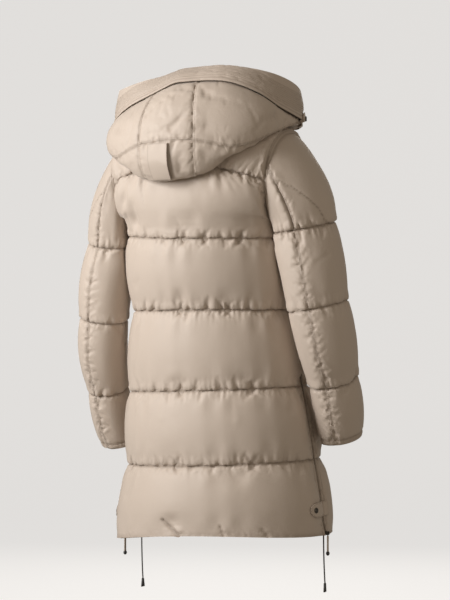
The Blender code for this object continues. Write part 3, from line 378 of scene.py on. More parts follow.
def lower_rows():
    """Rows below the underarm, from the hem up."""
    return channel_rows(QUILTS[1:], ZIP_CHANNEL - 1)[::-1]


def front_line(side, share):
    """The edge of a front from the underarm's level at 0 up to the neck at 1."""
    low = body_point(UNDERARM, 180 + side * front_turn(UNDERARM))
    high = neck_point(180)
    high[0] = side * ZIP_HALF_GAP
    bow = math.sin(math.pi * share) * FRONT_BOW
    return low + (high - low) * share + np.array((0.0, -bow, bow * FRONT_BOW_LIFT))


def front_turns(side, drop):
    """Turns of a front's columns, from its side edge to its front edge."""
    first = 90 + zip_turn(drop)
    last = 180 - front_turn(drop)
    return [-side * t for t in np.linspace(first, last, FRONT_COLUMNS + 1)]


def back_turns(drop):
    last = 90 - zip_turn(drop)
    return np.linspace(-last, last, BACK_COLUMNS + 1)


def neck_turns():
    """Turns of every column of the neck's seam, from the left front's edge round the back."""
    front = list(np.linspace(180, 90, FRONT_NECK_COLUMNS + 1))
    back = list(np.linspace(90, -90, BACK_COLUMNS - 2 * SHOULDER_COLUMNS + 1))[1:-1]
    return [-t for t in front + back + [-t for t in front[::-1]]]


def neck_column(turn):
    """A column's place on the neck's seam. The two fronts end at the zip."""
    place = neck_point(turn)
    if abs(turn) == 180:
        place[0] = -math.copysign(ZIP_HALF_GAP, turn)
    return place


print("underarm of the left side (m):", np.round(armhole_point(1, 0), 3).tolist())

# %% [markdown]
# Above the underarm four seams bound each panel: the underarm's level, the armhole, the shoulder
# with the neck, and the other armhole or the zip. A grid is first drawn straight between top and
# bottom. Its ends are then bent to the other two, and its depth follows a profile of the back.

# %% Body above the underarm
TOP_BEND = (0.62, 0.38)  # the share where the shoulder's line starts to tell, and over how much
TOP_BEND_POWER = 1.5
BOTTOM_BEND = 0.3


def loft(bottom, top, left, right, fade_left, fade_right):
    """A grid between two rows, bent at its two ends to meet the other two edges."""
    v = np.array(UPPER_SHARES)[:, None, None]
    grid = (1 - v) * bottom[None] + v * top[None]
    for edge, end, fade in ((left, 0, fade_left), (right, -1, fade_right)):
        bow = edge - grid[:, end]
        grid = grid + bow[:, None] * fade[None, :, None]
    return grid


def upper_grid(kind):
    """The body above the underarm: rows from the underarm up, columns as in the lower grid."""
    sweep = np.linspace(0, 180, ARM_ROWS + 1)
    shares = np.linspace(0, 1, SHOULDER_COLUMNS + 1)
    if kind == "back":
        bottom = np.array([body_point(UNDERARM, t) for t in back_turns(UNDERARM)])
        left = np.array([armhole_point(1, a) for a in sweep])
        right = np.array([armhole_point(-1, a) for a in sweep])
        necks = [t for t in neck_turns() if abs(t) < 89]
        top = [shoulder_point(1, s) for s in shares]
        top += [neck_column(t) for t in necks]
        top += [shoulder_point(-1, s) for s in shares[::-1]]
        across = np.linspace(0, 1, BACK_COLUMNS + 1)
        fades = np.maximum(0, 1 - 2 * across) ** 2, np.maximum(0, 2 * across - 1) ** 2
        inward = 2 * np.minimum(across, 1 - across)
        middle = np.array([BACK_PROFILE.at("back", v) for v in UPPER_SHARES])
    else:
        side = 1 if kind == "front_left" else -1
        bottom = np.array([body_point(UNDERARM, t) for t in front_turns(side, UNDERARM)])
        left = np.array([armhole_point(side, -a % 360) for a in sweep])
        right = np.array([front_line(side, v) for v in UPPER_SHARES])
        necks = [t for t in neck_turns() if t * -side > 91]
        necks.sort(key=abs)
        top = [shoulder_point(side, s) for s in shares]
        top += [neck_column(t) for t in necks]
        across = np.linspace(0, 1, FRONT_COLUMNS + 1)
        fades = (1 - across) ** 2, across**2
        inward = across
        middle = right[:, 1]
    top = np.array(top)
    grid = loft(bottom, top, left, right, *fades)
    centre = len(top) // 2 if kind == "back" else -1
    along_top = (top[:, 1] - top[0, 1]) / (top[centre, 1] - top[0, 1])
    along_bottom = (bottom[:, 1] - bottom[0, 1]) / (bottom[centre, 1] - bottom[0, 1])
    for i, share in enumerate(UPPER_SHARES):
        near_top = ease((share - TOP_BEND[0]) / TOP_BEND[1]) ** TOP_BEND_POWER
        near_bottom = 1 - ease(share / BOTTOM_BEND)
        form = near_bottom * along_bottom + (1 - near_bottom) * (1 - (1 - inward) ** 2)
        form = (1 - near_top) * form + near_top * along_top
        half = len(form) // 2
        starts = np.full(len(form), left[i, 1])
        if kind == "back":
            starts[half:] = right[i, 1]
        grid[i, :, 1] = starts + (middle[i] - starts) * form
    return grid


print("points of the back above the underarm:", upper_grid("back")[..., 0].size)

# %% [markdown]
# The filling makes a wall thick in mid channel and thin at the thread and at the seams. So the
# outer wall is the inner one moved out by a thickness, and not a surface of its own: that way the
# two can't cross. Where a sleeve lies against the body's side, both are kept off a surface between.

# %% Body thickness
SEAM_REACH = 0.035  # how far into a panel a seam thins its filling
ZIP_PINCH, SIDE_PINCH, ARM_PINCH = 0.9, 0.45, 0.6
CRINKLE = 0.28
CRINKLE_DRIFT = 0.15
HEM_FLARE = (0.855, 0.025)  # the drop where the hem's tunnel starts, and over how much
COLUMN_WIDTH = 0.018
FRONT_EDGE_TURN, FRONT_EDGE_RISE = 0.2, 0.3
PARTED_FROM = SHOULDER[2] + 0.02  # sleeves and body are parted below this drop
PARTED_PAST = 0.05  # and the body a little further down than the sleeves


def edge_softness(distance, pinch, reach=SEAM_REACH):
    """1 in the middle of a panel, and less near a seam."""
    return 1 - pinch * (1 - ease(distance / reach))


def fold_depth(turn, drop):
    """How deep the folds of the back are at a place."""
    depth = 0.0
    for row in BACK_FOLDS:
        fold = dict(zip(FOLD_COLUMNS, row))
        lean = math.radians(fold["lean"])
        aside = math.radians(turn - fold["turn"]) * BODY.at("back", max(drop, UNDERARM))
        down = drop - fold["drop"]
        along = down * math.cos(lean) + aside * math.sin(lean)
        away = aside * math.cos(lean) - down * math.sin(lean)
        reach = max(0.0, 1 - (along / fold["half_length"]) ** 2)
        depth += fold["depth"] * reach * math.exp(-((away / fold["half_width"]) ** 2))
    return depth


def dented(kind, thick, turn, drop):
    """A thickness less the folds of the back, and never under the least one."""
    if kind == "back":
        thick -= fold_depth(turn, drop)
    return max(thick, LEAST_WALL)


def body_thickness(kind, turn, drop, share):
    """Thickness of the body's wall below the underarm."""
    from_seam = abs(abs(turn) - 90) * math.pi / 180 * BODY.at("back", drop)
    pinch = ZIP_PINCH if drop > zip_rows()[0] else SIDE_PINCH
    fill = swell(share) * edge_softness(from_seam, pinch)
    if kind != "back":
        from_front = (180 - abs(turn)) * math.pi / 180 * BODY.at("half_width", drop)
        fill *= edge_softness(from_front, ZIP_PINCH)
    base = SEAM_WALL + (HEM_WALL - SEAM_WALL) * ease((drop - HEM_FLARE[0]) / HEM_FLARE[1])
    crinkle = crinkled(CRINKLE, turn, drop - share * CRINKLE_DRIFT, share)
    return dented(kind, base + BODY_PUFF * fill * crinkle, turn, drop)


def upper_share(drop):
    """(share of the channel, height of its filling) above the underarm."""
    if drop > QUILTS[0]:
        return (drop - QUILTS[0]) / (QUILTS[1] - QUILTS[0]), BODY_PUFF * UPPER_PUFF
    return drop / QUILTS[0], YOKE_PUFF


def upper_thickness(kind, across, inward, share_up):
    """Thickness of the body's wall above the underarm."""
    drop = UNDERARM * (1 - share_up)
    share, puff = upper_share(drop)
    fill = swell(share) * edge_softness(inward, ARM_PINCH)
    turn = -90 + 180 * across
    crinkle = crinkled(CRINKLE, turn, share, share)
    return dented(kind, SEAM_WALL + puff * fill * crinkle, turn, drop)


def settle_edges(kind, side, inner, out, thick, arm_rows):
    """Gives each edge that meets another piece the direction and thickness of their seam."""
    first_upper = len(inner) - arm_rows
    for i in range(first_upper):
        for j in (0, -1):
            if kind != "back" and j == -1:
                out[i, j] = unit(np.array((0.0, -1.0, 0.0)) + FRONT_EDGE_TURN * out[i, j])
                continue
            out[i, j] = (math.copysign(1.0, inner[i, j, 0]), 0.0, 0.0)
    for i in range(arm_rows):
        angle = 180 * i / (arm_rows - 1)
        if kind == "back":
            out[first_upper + i, 0] = armhole_direction(1, angle)
            out[first_upper + i, -1] = armhole_direction(-1, angle)
            thick[first_upper + i, [0, -1]] = ARMHOLE_WALL
        else:
            out[first_upper + i, 0] = armhole_direction(side, -angle % 360)
            out[first_upper + i, -1] = unit(np.array((0.0, -1.0, FRONT_EDGE_RISE * i / arm_rows)))
            thick[first_upper + i, 0] = ARMHOLE_WALL
    columns = inner.shape[1]
    for j in range(columns):
        if j <= SHOULDER_COLUMNS:
            share = j / SHOULDER_COLUMNS
            out[-1, j] = shoulder_direction(side if kind != "back" else 1, share)
        elif kind == "back" and j >= columns - 1 - SHOULDER_COLUMNS:
            share = (columns - 1 - j) / SHOULDER_COLUMNS
            out[-1, j] = shoulder_direction(-1, share)
        else:
            out[-1, j] = neck_direction(inner[-1, j])
        thick[-1, j] = SHOULDER_WALL
    thick[-1, 0] = ARMHOLE_WALL
    if kind == "back":
        thick[-1, -1] = ARMHOLE_WALL


def clear_of_sleeves(grid, inside):
    """Flattens the body's side where a sleeve lies against it, some way inside the parting."""
    cleared = np.array(grid)
    for point in cleared.reshape(-1, 3):
        drop = -point[2]
        if PARTED_FROM < drop < SLEEVE_FREE_DROP + PARTED_PAST:
            side = 1 if point[0] > 0 else -1
            most = side_limit(side, drop) - CONTACT_GAP - inside
            if abs(point[0]) > most:
                point[0] = side * most
    return cleared


def body_panel(kind):
    """(inner grid, outer grid) of the back or of a front, from the hem up."""
    upper = upper_grid(kind)
    side = -1 if kind == "front_right" else 1
    inner, thick = [], []
    for drop, share in lower_rows():
        turns = back_turns(drop) if kind == "back" else front_turns(side, drop)
        inner.append([body_point(drop, t) for t in turns])
        thick.append([body_thickness(kind, t, drop, share) for t in turns])
    inner += list(upper)
    rows, columns = upper.shape[:2]
    for share_up in UPPER_SHARES:
        line = []
        for j in range(columns):
            from_arm = min(j, columns - 1 - j) if kind == "back" else j
            across = j / (columns - 1)
            line.append(upper_thickness(kind, across, from_arm * COLUMN_WIDTH, share_up))
        thick.append(line)
    inner, thick = np.array(inner), np.array(thick)
    inner[:, 1:-1] = clear_of_sleeves(inner[:, 1:-1], CONTACT_WALL)
    out = directions(inner, 1.0 if kind == "front_left" else -1.0)
    settle_edges(kind, side, inner, out, thick, rows)
    outer = inner + out * thick[..., None]
    first_upper = len(inner) - rows
    outer[:first_upper] = clear_of_sleeves(outer[:first_upper], 0.0)
    outer[:, 1:-1] = clear_of_sleeves(outer[:, 1:-1], 0.0)
    return inner, outer


print("fullest wall of the back:", round(1000 * body_thickness("back", 0, 0.64, 0.5), 1), "mm")

# %% [markdown]
# ## The sleeves' form
# A sleeve is a tube whose section is an oval, set across the arm's own lean. Its cap joins the
# round of the armhole to the first line of quilting. A bent tube could be swept along a curve, but
# rings from a table can be set one by one, where the elbow bends and where the forearm thins.

# %% Sleeve form
# Inner wall of a sleeve. The section is an oval whose long axis points outward and forward.
# rise is how much the ring climbs for each metre towards the front.
SLEEVE = Table(
    ("drop", "out", "back", "long", "short", "rise"),
    (
        (0.246, 0.2200, 0.041, 0.0580, 0.0480, 0.20),
        (0.343, 0.2390, 0.041, 0.0575, 0.0470, 0.14),
        (0.402, 0.2480, 0.036, 0.0560, 0.0455, 0.18),
        (0.500, 0.2590, 0.014, 0.0495, 0.0410, 0.30),
        (0.552, 0.2625, -0.005, 0.0450, 0.0375, 0.36),
        (0.610, 0.2625, -0.026, 0.0425, 0.0350, 0.38),
        (0.668, 0.2600, -0.046, 0.0400, 0.0340, 0.36),
    ),
)
SLEEVE_QUILTS = (0.246, 0.402, 0.552, 0.668)
SLEEVE_TURN = math.radians(45)
SLEEVE_FREE_DROP = 0.70  # below this the sleeves hang clear of the body
UPPER_SLEEVE_FROM = 5
UPPER_SLEEVE_TO = 14
SLOPE_STEP = 0.01
SIDE_SOFTNESS = 0.004  # over this much a ring is bent flat against the body's side
CAP_LEAVES = (0.25, 0.30, 0.15)  # outward at the underarm, more outward on top, less down on top
CAP_ARRIVES = 0.16
SLEEVE_WALL = 0.0042
SLEEVE_SEAMS = (80, 280)
SLEEVE_GIRTH = 0.36
SLEEVE_PINCH, SLEEVE_PINCH_REACH = 0.12, 0.012
SLEEVE_INSIDE_LOSS = 0.75  # how much of its filling the arm presses flat on the inside
SLEEVE_CRINKLE, SLEEVE_DRIFT = 0.3, 0.1
CAP_DROP = 0.2


def sleeve_ring(side, drop, angle):
    """Inner wall of a sleeve below its cap."""
    sweep = math.radians(angle)
    aim = np.array((-math.cos(sweep), math.sin(sweep)))
    long_axis = np.array((math.cos(SLEEVE_TURN), -math.sin(SLEEVE_TURN)))
    short_axis = np.array((math.sin(SLEEVE_TURN), math.cos(SLEEVE_TURN)))
    offset = SLEEVE.at("long", drop) * aim.dot(long_axis) * long_axis
    offset = offset + SLEEVE.at("short", drop) * aim.dot(short_axis) * short_axis
    slope = SLEEVE.at("out", drop + SLOPE_STEP) - SLEEVE.at("out", drop - SLOPE_STEP)
    slope /= 2 * SLOPE_STEP
    height = -drop + offset[0] * slope - offset[1] * SLEEVE.at("rise", drop)
    if side > 0:
        height -= LEFT_SLEEVE_FALL
    out = SLEEVE.at("out", drop) + offset[0]
    least = 0.0
    if -height < SLEEVE_FREE_DROP:
        least = side_limit(side, -height) + CONTACT_GAP + CONTACT_WALL
    soft = SIDE_SOFTNESS
    if out < least + soft:
        blend = (least + soft - out) / (2 * soft)
        out = least + soft * max(0.0, 1 - blend) ** 2 if blend < 1 else least
    return np.array((side * out, SLEEVE.at("back", drop) + offset[1], height))


def cap_point(side, share, angle):
    """Between the armhole at 0 and the sleeve's first line of quilting at 1."""
    start = armhole_point(side, angle)
    end = sleeve_ring(side, SLEEVE_QUILTS[0], angle)
    chord = np.linalg.norm(end - start)
    top = (1 - math.cos(math.radians(angle))) / 2
    aside, more, less = CAP_LEAVES
    leave = unit(np.array((side * (aside + more * top), 0.0, -1.0 + less * top)))
    arrive = unit(np.array((side * CAP_ARRIVES, 0.0, -1.0)))
    a, b, c, d = curve_shares(share)
    return a * start + b * leave * chord + c * end + d * arrive * chord


def sleeve_thickness(angle, drop, share):
    """Thickness of a sleeve's wall."""
    from_seam = min(abs(angle - seam) / 360 for seam in SLEEVE_SEAMS) * SLEEVE_GIRTH
    fill = swell(share) * edge_softness(from_seam, SLEEVE_PINCH, SLEEVE_PINCH_REACH)
    inside = 0.5 * (1 + math.cos(math.radians(angle)))
    fill *= 1 - SLEEVE_INSIDE_LOSS * ease(inside)
    crinkle = crinkled(SLEEVE_CRINKLE, angle * 0.5, drop - share * SLEEVE_DRIFT, share)
    return SLEEVE_WALL + SLEEVE_PUFF * fill * crinkle


def sleeve_grids(side):
    """(inner, outer) of the whole sleeve, one column for each step round the arm."""
    angles = np.linspace(0, 360, 2 * ARM_ROWS + 1)
    rows = channel_rows(SLEEVE_QUILTS)
    inner, thick = [], []
    for share in CHANNEL_STEPS:
        inner.append([cap_point(side, share, a) for a in angles])
        thick.append([sleeve_thickness(a, CAP_DROP, share) for a in angles])
    for drop, share in rows:
        inner.append([sleeve_ring(side, drop, a) for a in angles])
        thick.append([sleeve_thickness(a, drop, share) for a in angles])
    inner, thick = np.array(inner), np.array(thick)
    around = np.concatenate([inner[:, -2:-1], inner, inner[:, 1:2]], axis=1)
    out = directions(around, -side)[:, 1:-1]
    out[0] = [armhole_direction(side, a) for a in angles]
    thick[0] = ARMHOLE_WALL
    outer = inner + out * thick[..., None]
    for point in outer[1:].reshape(-1, 3):
        drop = -point[2]
        least = side_limit(side, drop) + CONTACT_GAP
        if drop < SLEEVE_FREE_DROP and side * point[0] < least:
            point[0] = side * least
    return inner, outer


print("rings of a sleeve:", len(CHANNEL_STEPS) + len(channel_rows(SLEEVE_QUILTS)))

# %% [markdown]
# ## The hood's form
# The hood lies folded back over the shoulders as a deep bowl. From the neck its cloth runs out and
# down the back, turns up at its lowest edge, crosses a seam, and ends in a wide stitched band. It
# is made as paths from the neck to the rim, one for each turn round the hood. Dropping a flat hood
# on the coat in a simulation is another way, but its folds would fall where they like.

# %% Hood form
# Inner wall of the hood as it lies folded down, at each turn from the back round to the throat.
# Each place is a distance from the hood's middle line and a height. Its root lies on the collar,
# and left_fall is how much lower the wearer's left side of the rim has slipped.
HOOD_FALL = {"under": 0.0, "foot": 0.2, "seam": 0.3, "crease": 1.0, "rim": 0.6}  # shares of it
HOOD = Table(
    ("turn", *(place + way for place in HOOD_FALL for way in ("_out", "_up")), "left_fall"),
    (
        (0, 0.128, -0.058, 0.154, -0.152, 0.178, -0.080, 0.133, 0.036, 0.104, 0.064, 0.000),
        (20, 0.128, -0.055, 0.157, -0.144, 0.180, -0.081, 0.137, 0.038, 0.109, 0.066, 0.018),
        (45, 0.130, -0.042, 0.174, -0.104, 0.190, -0.092, 0.164, 0.033, 0.143, 0.066, 0.036),
        (60, 0.132, -0.026, 0.178, -0.080, 0.196, -0.072, 0.182, 0.014, 0.165, 0.060, 0.035),
        (75, 0.134, -0.014, 0.182, -0.058, 0.196, -0.050, 0.194, -0.014, 0.184, 0.050, 0.020),
        (90, 0.134, -0.010, 0.180, -0.038, 0.195, -0.032, 0.196, -0.026, 0.190, 0.036, 0.004),
        (110, 0.134, -0.014, 0.168, -0.036, 0.181, -0.031, 0.183, -0.024, 0.181, 0.020, 0.000),
        (130, 0.134, -0.026, 0.152, -0.046, 0.160, -0.038, 0.162, -0.028, 0.159, 0.006, 0.000),
        (158, 0.138, -0.044, 0.148, -0.054, 0.152, -0.048, 0.152, -0.038, 0.148, -0.010, 0.000),
    ),
)
HOOD_ROOT_HEIGHT = 0.008  # up the collar
HOOD_MIDDLE_BACK = 0.030
HOOD_END = 158
HOOD_CENTRE_HALF = 19
HOOD_PUFF = 0.010
HOOD_WALL = 0.004
HOOD_SEAM_FILL = 0.85
HOOD_SEAM_FILLED = (0.55, 0.45)  # the share where the seam's own filling starts, over how much
HOOD_SEAM_RADIUS = 0.18
HOOD_PINCH, HOOD_PINCH_REACH = 0.12, 0.010
HOOD_PUFF_SHARES = (0.7, 1.0)  # below the seam and above it
HOOD_PUFF_FOR_SPAN = 0.12
HOOD_ROOT_SHARE, HOOD_ROOT_FILL = 0.6, 0.5
BAND_SHARES = (0.15, 0.70)  # the band is filled as the middle part of a channel
NECK_SEARCH = np.linspace(-176, 176, 353)
HOOD_GAP = 0.0050
HOOD_ROOT_GAP = 0.0017
HOOD_REST = 0.0075  # under the hood, where it lies on the back
HOOD_COLUMNS = 14
BAND_WALL = 0.009
HOOD_STEPS = (2, 4, 2, 4, 3)
HOOD_SEAM_ROW = sum(HOOD_STEPS[:3])
HOOD_CREASE_ROW = sum(HOOD_STEPS[:4])


def collar_point(turn, height):
    """Inner wall of the collar at a turn round the neck and a height above the neck's seam."""
    angle = math.radians(turn)
    radial = np.array((-math.sin(angle), math.cos(angle), 0.0))
    return neck_point(turn) - radial * COLLAR_LEAN * height + UP * height


def collar_grids():
    turns = neck_turns()
    inner = np.array(
        [[neck_column(t) + collar_point(t, h) - neck_point(t) for t in turns] for h in COLLAR_ROWS]
    )
    out = np.zeros_like(inner)
    out[:] = [unit(neck_direction(p) * (1.0, 1.0, 0.0)) for p in inner[0]]
    out[0] = [neck_direction(p) for p in inner[0]]
    thick = np.full(inner.shape[:2], COLLAR_WALL)
    thick[0] = SHOULDER_WALL
    return inner, inner + out * thick[..., None]


def hood_root(turn):
    """Where the hood starts, just clear of the collar's outer wall, at the hood's own turn."""
    angle = math.radians(turn)
    aim = np.array((-math.sin(angle), math.cos(angle)))
    near = max(
        NECK_SEARCH, key=lambda t: aim.dot(unit(neck_point(t)[:2] - (0.0, HOOD_MIDDLE_BACK)))
    )
    base = collar_point(near, HOOD_ROOT_HEIGHT)
    sweep = math.radians(near)
    radial = np.array((-math.sin(sweep), math.cos(sweep), 0.0))
    return base + radial * (COLLAR_WALL + HOOD_WALL), unit(-radial - UP)


def hood_place(turn, name):
    """A named place of the hood's inner wall, in space."""
    size = min(abs(turn), HOOD_END)
    reach = HOOD.at(name + "_out", size)
    height = HOOD.at(name + "_up", size)
    if turn < 0:
        height -= HOOD_FALL[name] * HOOD.at("left_fall", size)
    angle = math.radians(turn)
    return np.array((-reach * math.sin(angle), HOOD_MIDDLE_BACK + reach * math.cos(angle), height))


def smooth_path(points, steps):
    """Points on a smooth curve through the given ones, with so many steps in each stretch."""
    points = np.array(points)
    spans = np.diff(points, axis=0)
    lengths = np.linalg.norm(spans, axis=1)
    aims = spans / lengths[:, None]
    headings = [aims[0]] + [unit(a + b) for a, b in zip(aims, aims[1:])] + [aims[-1]]
    path = [points[0]]
    for k, count in enumerate(steps):
        for s in range(1, count + 1):
            a, b, c, d = curve_shares(s / count)
            place = a * points[k] + b * headings[k] * lengths[k]
            path.append(place + c * points[k + 1] + d * headings[k + 1] * lengths[k])
    return path


def hood_turns():
    """Turns of the hood's columns, with one on each side of the centre panel."""
    side = list(np.linspace(HOOD_CENTRE_HALF, HOOD_END, HOOD_COLUMNS))
    centre = list(np.linspace(-HOOD_CENTRE_HALF, HOOD_CENTRE_HALF, 5))[1:-1]
    return [-t for t in side[::-1]] + centre + side


def hood_thickness(row, turn, path):
    """Thickness of the hood's wall at a row of its path. A short stretch can't puff far."""
    bounds = (0, HOOD_SEAM_ROW, HOOD_CREASE_ROW, sum(HOOD_STEPS))
    puffs = (*(HOOD_PUFF * share for share in HOOD_PUFF_SHARES), BAND_WALL - HOOD_WALL)
    k = next(k for k in range(3) if row <= bounds[k + 1])
    share = (row - bounds[k]) / (bounds[k + 1] - bounds[k])
    if k == 2:
        share = BAND_SHARES[0] + BAND_SHARES[1] * share
    span = np.linalg.norm(np.diff(path[bounds[k] : bounds[k + 1] + 1], axis=0), axis=1).sum()
    from_seam = abs(abs(turn) - HOOD_CENTRE_HALF) * math.pi / 180 * HOOD_SEAM_RADIUS
    fill = swell(share)
    near_seam = share if k == 0 else 1 - share
    if k < 2:
        filled_from, over = HOOD_SEAM_FILLED
        fill = max(fill, HOOD_SEAM_FILL * ease((near_seam - filled_from) / over))
        fill *= edge_softness(from_seam, HOOD_PINCH, HOOD_PINCH_REACH)
    if k == 0 and share < HOOD_ROOT_SHARE:
        fill *= HOOD_ROOT_FILL
    return HOOD_WALL + min(puffs[k], HOOD_PUFF_FOR_SPAN * span) * fill


print("columns of the hood:", len(hood_turns()), "rows:", sum(HOOD_STEPS) + 1)

# %% [markdown]
# A hood that is laid down rests on the back and on the sleeves' tops. Its paths are drawn first,
# and then each of their points is asked for the nearest place on the coat and moved off it until it
# is clear. That keeps the drawn form where it is free, and only lifts it where it would sink in.

# %% Lay the hood on the coat
CHEST = np.array((0.0, 0.03, -0.20))  # a place inside the body, to tell out from in
LIFT_PASSES = 4


def grid_faces(rows, columns, start=0):
    """The four corners of every face of a grid whose points are numbered row by row."""
    index = start + np.arange(rows * columns).reshape(rows, columns)
    corners = (index[:-1, :-1], index[1:, :-1], index[1:, 1:], index[:-1, 1:])
    return np.stack([c.reshape(-1) for c in corners], axis=-1)


def surface(sheets):
    """A search tree of the outer surfaces of some panels."""
    points, faces = [], []
    for sheet in sheets:
        faces += grid_faces(*sheet.shape[:2], len(points)).tolist()
        points += [Vector(p) for p in sheet.reshape(-1, 3)]
    return BVHTree.FromPolygons(points, faces)


def lifted(under, point, least):
    """The point moved off a surface until it is at least so far outside it."""
    for _ in range(LIFT_PASSES):
        near, normal = (np.array(v) for v in under.find_nearest(Vector(point))[:2])
        if normal.dot(near - CHEST) < 0:
            normal = -normal
        height = normal.dot(point - near)
        if height >= least:
            break
        point = point + normal * (least - height)
    return point


def hood_grids(under):
    """(turns, inner, outer) of the hood, lifted clear of the surface it lies on."""
    turns = hood_turns()
    columns = []
    for turn in turns:
        places = [hood_root(turn)[0]] + [hood_place(turn, name) for name in HOOD_FALL]
        columns.append(smooth_path(places, HOOD_STEPS))
    thick = [[hood_thickness(i, t, c) for i in range(len(c))] for t, c in zip(turns, columns)]
    thick = np.array(thick).T
    inner = np.array(columns).transpose(1, 0, 2)
    gaps = [HOOD_ROOT_GAP] + [HOOD_REST] * (HOOD_STEPS[0] + 3) + [HOOD_GAP] * len(inner)
    for i, j in np.ndindex(thick.shape):
        if i:
            inner[i, j] = lifted(under, inner[i, j], thick[i, j] + gaps[i])
    out = directions(inner, -1.0)
    out[0] = [hood_root(turn)[1] for turn in turns]
    outer = inner + out * thick[..., None]
    for i, j in np.ndindex(thick.shape):
        outer[i, j] = lifted(under, outer[i, j], gaps[i])
    return turns, inner, outer


print("corners of the faces in a grid of 2 by 3 points:", grid_faces(2, 3).tolist())

# %% [markdown]
# ## Finer sheets
# The solids have a row of points every few centimetres. Cloth needs one every few millimetres. The
# finer rows lie on smooth curves through the coarse ones, except at a line of quilting, where the
# thread pulls the cloth into a sharp valley and each side leaves it at its own slope.
# %% Smooth curves through a grid
SHEET_STEPS = (0.0052, 0.0052)


def smooth_steps(points, counts, breaks=()):
    """More points along the first axis, on smooth curves that may turn sharply at the breaks."""
    points = np.asarray(points, dtype=float)
    spans = np.diff(points, axis=0)
    lengths = np.maximum(np.linalg.norm(spans, axis=-1, keepdims=True), 1e-9)
    aims = spans / lengths
    leave, arrive = aims.copy(), aims.copy()
    middle = aims[:-1] * lengths[1:] + aims[1:] * lengths[:-1]
    middle = middle / (lengths[1:] + lengths[:-1])
    leave[1:], arrive[:-1] = middle, middle
    last = len(spans) - 1
    for k in range(last + 1):
        free_start, free_end = k == 0 or k in breaks, k == last or k + 1 in breaks
        if free_start and free_end:
            leave[k], arrive[k] = aims[k], aims[k]
        elif free_start:
            leave[k] = 1.5 * aims[k] - 0.5 * arrive[k]
        elif free_end:
            arrive[k] = 1.5 * aims[k] - 0.5 * leave[k]
    fine = [points[0]]
    for k, count in enumerate(counts):
        for s in range(1, count + 1):
            a, b, c, d = curve_shares(s / count)
            place = a * points[k] + b * leave[k] * lengths[k]
            fine.append(place + c * points[k + 1] + d * arrive[k] * lengths[k])
    return np.array(fine)


def lengths_along(grid, axis):
    """How far each point is along its line of the grid."""
    steps = np.linalg.norm(np.diff(grid, axis=axis), axis=-1)
    zero = np.zeros((1, steps.shape[1]) if axis == 0 else (steps.shape[0], 1))
    return np.concatenate([zero, np.cumsum(steps, axis=axis)], axis=axis)


def step_counts(grid, step):
    """How many steps each stretch of the first axis needs."""
    lengths = np.linalg.norm(np.diff(grid, axis=0), axis=-1)
    lengths = lengths.mean(axis=tuple(range(1, lengths.ndim)))
    return [max(1, round(length / step)) for length in lengths]


def refined(grid, row_counts, column_counts, breaks=()):
    rows = smooth_steps(grid, row_counts, breaks)
    return smooth_steps(rows.swapaxes(0, 1), column_counts).swapaxes(0, 1)


def halved(grid, breaks=()):
    """The same grid with every step cut in two."""
    rows, columns = grid.shape[:2]
    return refined(grid, [2] * (rows - 1), [2] * (columns - 1), breaks)


print("steps of the sheets (mm):", [round(1000 * step, 1) for step in SHEET_STEPS])

# %% [markdown]
# ## A cut piece
# Every cut piece is kept as one record: its node, its plain inner grid, its outer grid, and the
# rows where it is quilted. The middle line is what the cloth is widened about, because a quilted
# panel is cut wider than the finished coat and gathered by the thread.

# %% How each kind of piece is filled
# gather is how much of the fullest width a quilted line keeps, spare is all the cut width as a
# share, ease is how far the cloth may stretch, and most is the furthest that it may move.
Filling = collections.namedtuple("Filling", "pressure gather spare ease most")
BODY_FILLING = Filling(pressure=120, gather=0.55, spare=0.968, ease=0.03, most=0.007)
SLEEVE_FILLING = Filling(pressure=120, gather=0.5, spare=0.972, ease=0.05, most=0.006)
HOOD_FILLING = Filling(pressure=18, gather=0.0, spare=1.004, ease=0.02, most=0.0025)
COLLAR_FILLING = Filling(pressure=15, gather=0.0, spare=1.0, ease=0.0, most=0.002)
print("pressure in the body:", BODY_FILLING.pressure, "and in the hood:", HOOD_FILLING.pressure)

# %% Piece records
EASED_WIDTH = 0.03


class Sheet:
    """A cut piece on its way from the solid's grids to finished cloth."""

    def __init__(self, node, inner, outer, quilts, middle, filling, steps=SHEET_STEPS):
        self.node = node
        row_counts = step_counts(outer, steps[0])
        column_counts = step_counts(outer.swapaxes(0, 1), steps[1])
        self.start = refined(outer, row_counts, column_counts, quilts)
        self.inner = refined(inner, row_counts, column_counts)
        ends = np.concatenate([[0], np.cumsum(row_counts)])
        self.quilts = [int(ends[k]) for k in quilts]
        self.middle = smooth_steps(middle, row_counts)[:, None, :2]
        self.filling = filling
        self.cloth = self.start

    def pinned(self):
        """Where the cloth is sewn: its edges and its lines of quilting."""
        held = np.zeros(self.start.shape[:2], dtype=bool)
        held[[0, -1]], held[:, [0, -1]] = True, True
        held[self.quilts] = True
        return held

    def cut(self):
        """The flat cloth's own width: as wide at a quilted line as in the middle of a channel."""
        widths = np.linalg.norm(np.diff(self.start, axis=1), axis=-1).sum(axis=1)
        ends = [0] + self.quilts + [len(widths) - 1]
        if self.quilts:
            centres = [(a + b) / 2 for a, b in zip(ends, ends[1:])]
            fullest = [widths[a : b + 1].max() for a, b in zip(ends, ends[1:])]
            fullest = np.maximum(np.interp(np.arange(len(widths)), centres, fullest), widths)
            target = widths + self.filling.gather * (fullest - widths)
        else:
            target = widths
        wide = self.start.copy()
        factor = (self.filling.spare * target / widths)[:, None, None]
        wide[..., :2] = self.middle + (self.start[..., :2] - self.middle) * factor
        return wide

    def plainness(self):
        """1 in the middle of the cloth and 0 at its side edges, where it is eased into a seam."""
        across = lengths_along(self.start, 1)
        inward = np.minimum(across, across[:, -1:] - across)
        return np.clip(inward / EASED_WIDTH, 0.0, 1.0)


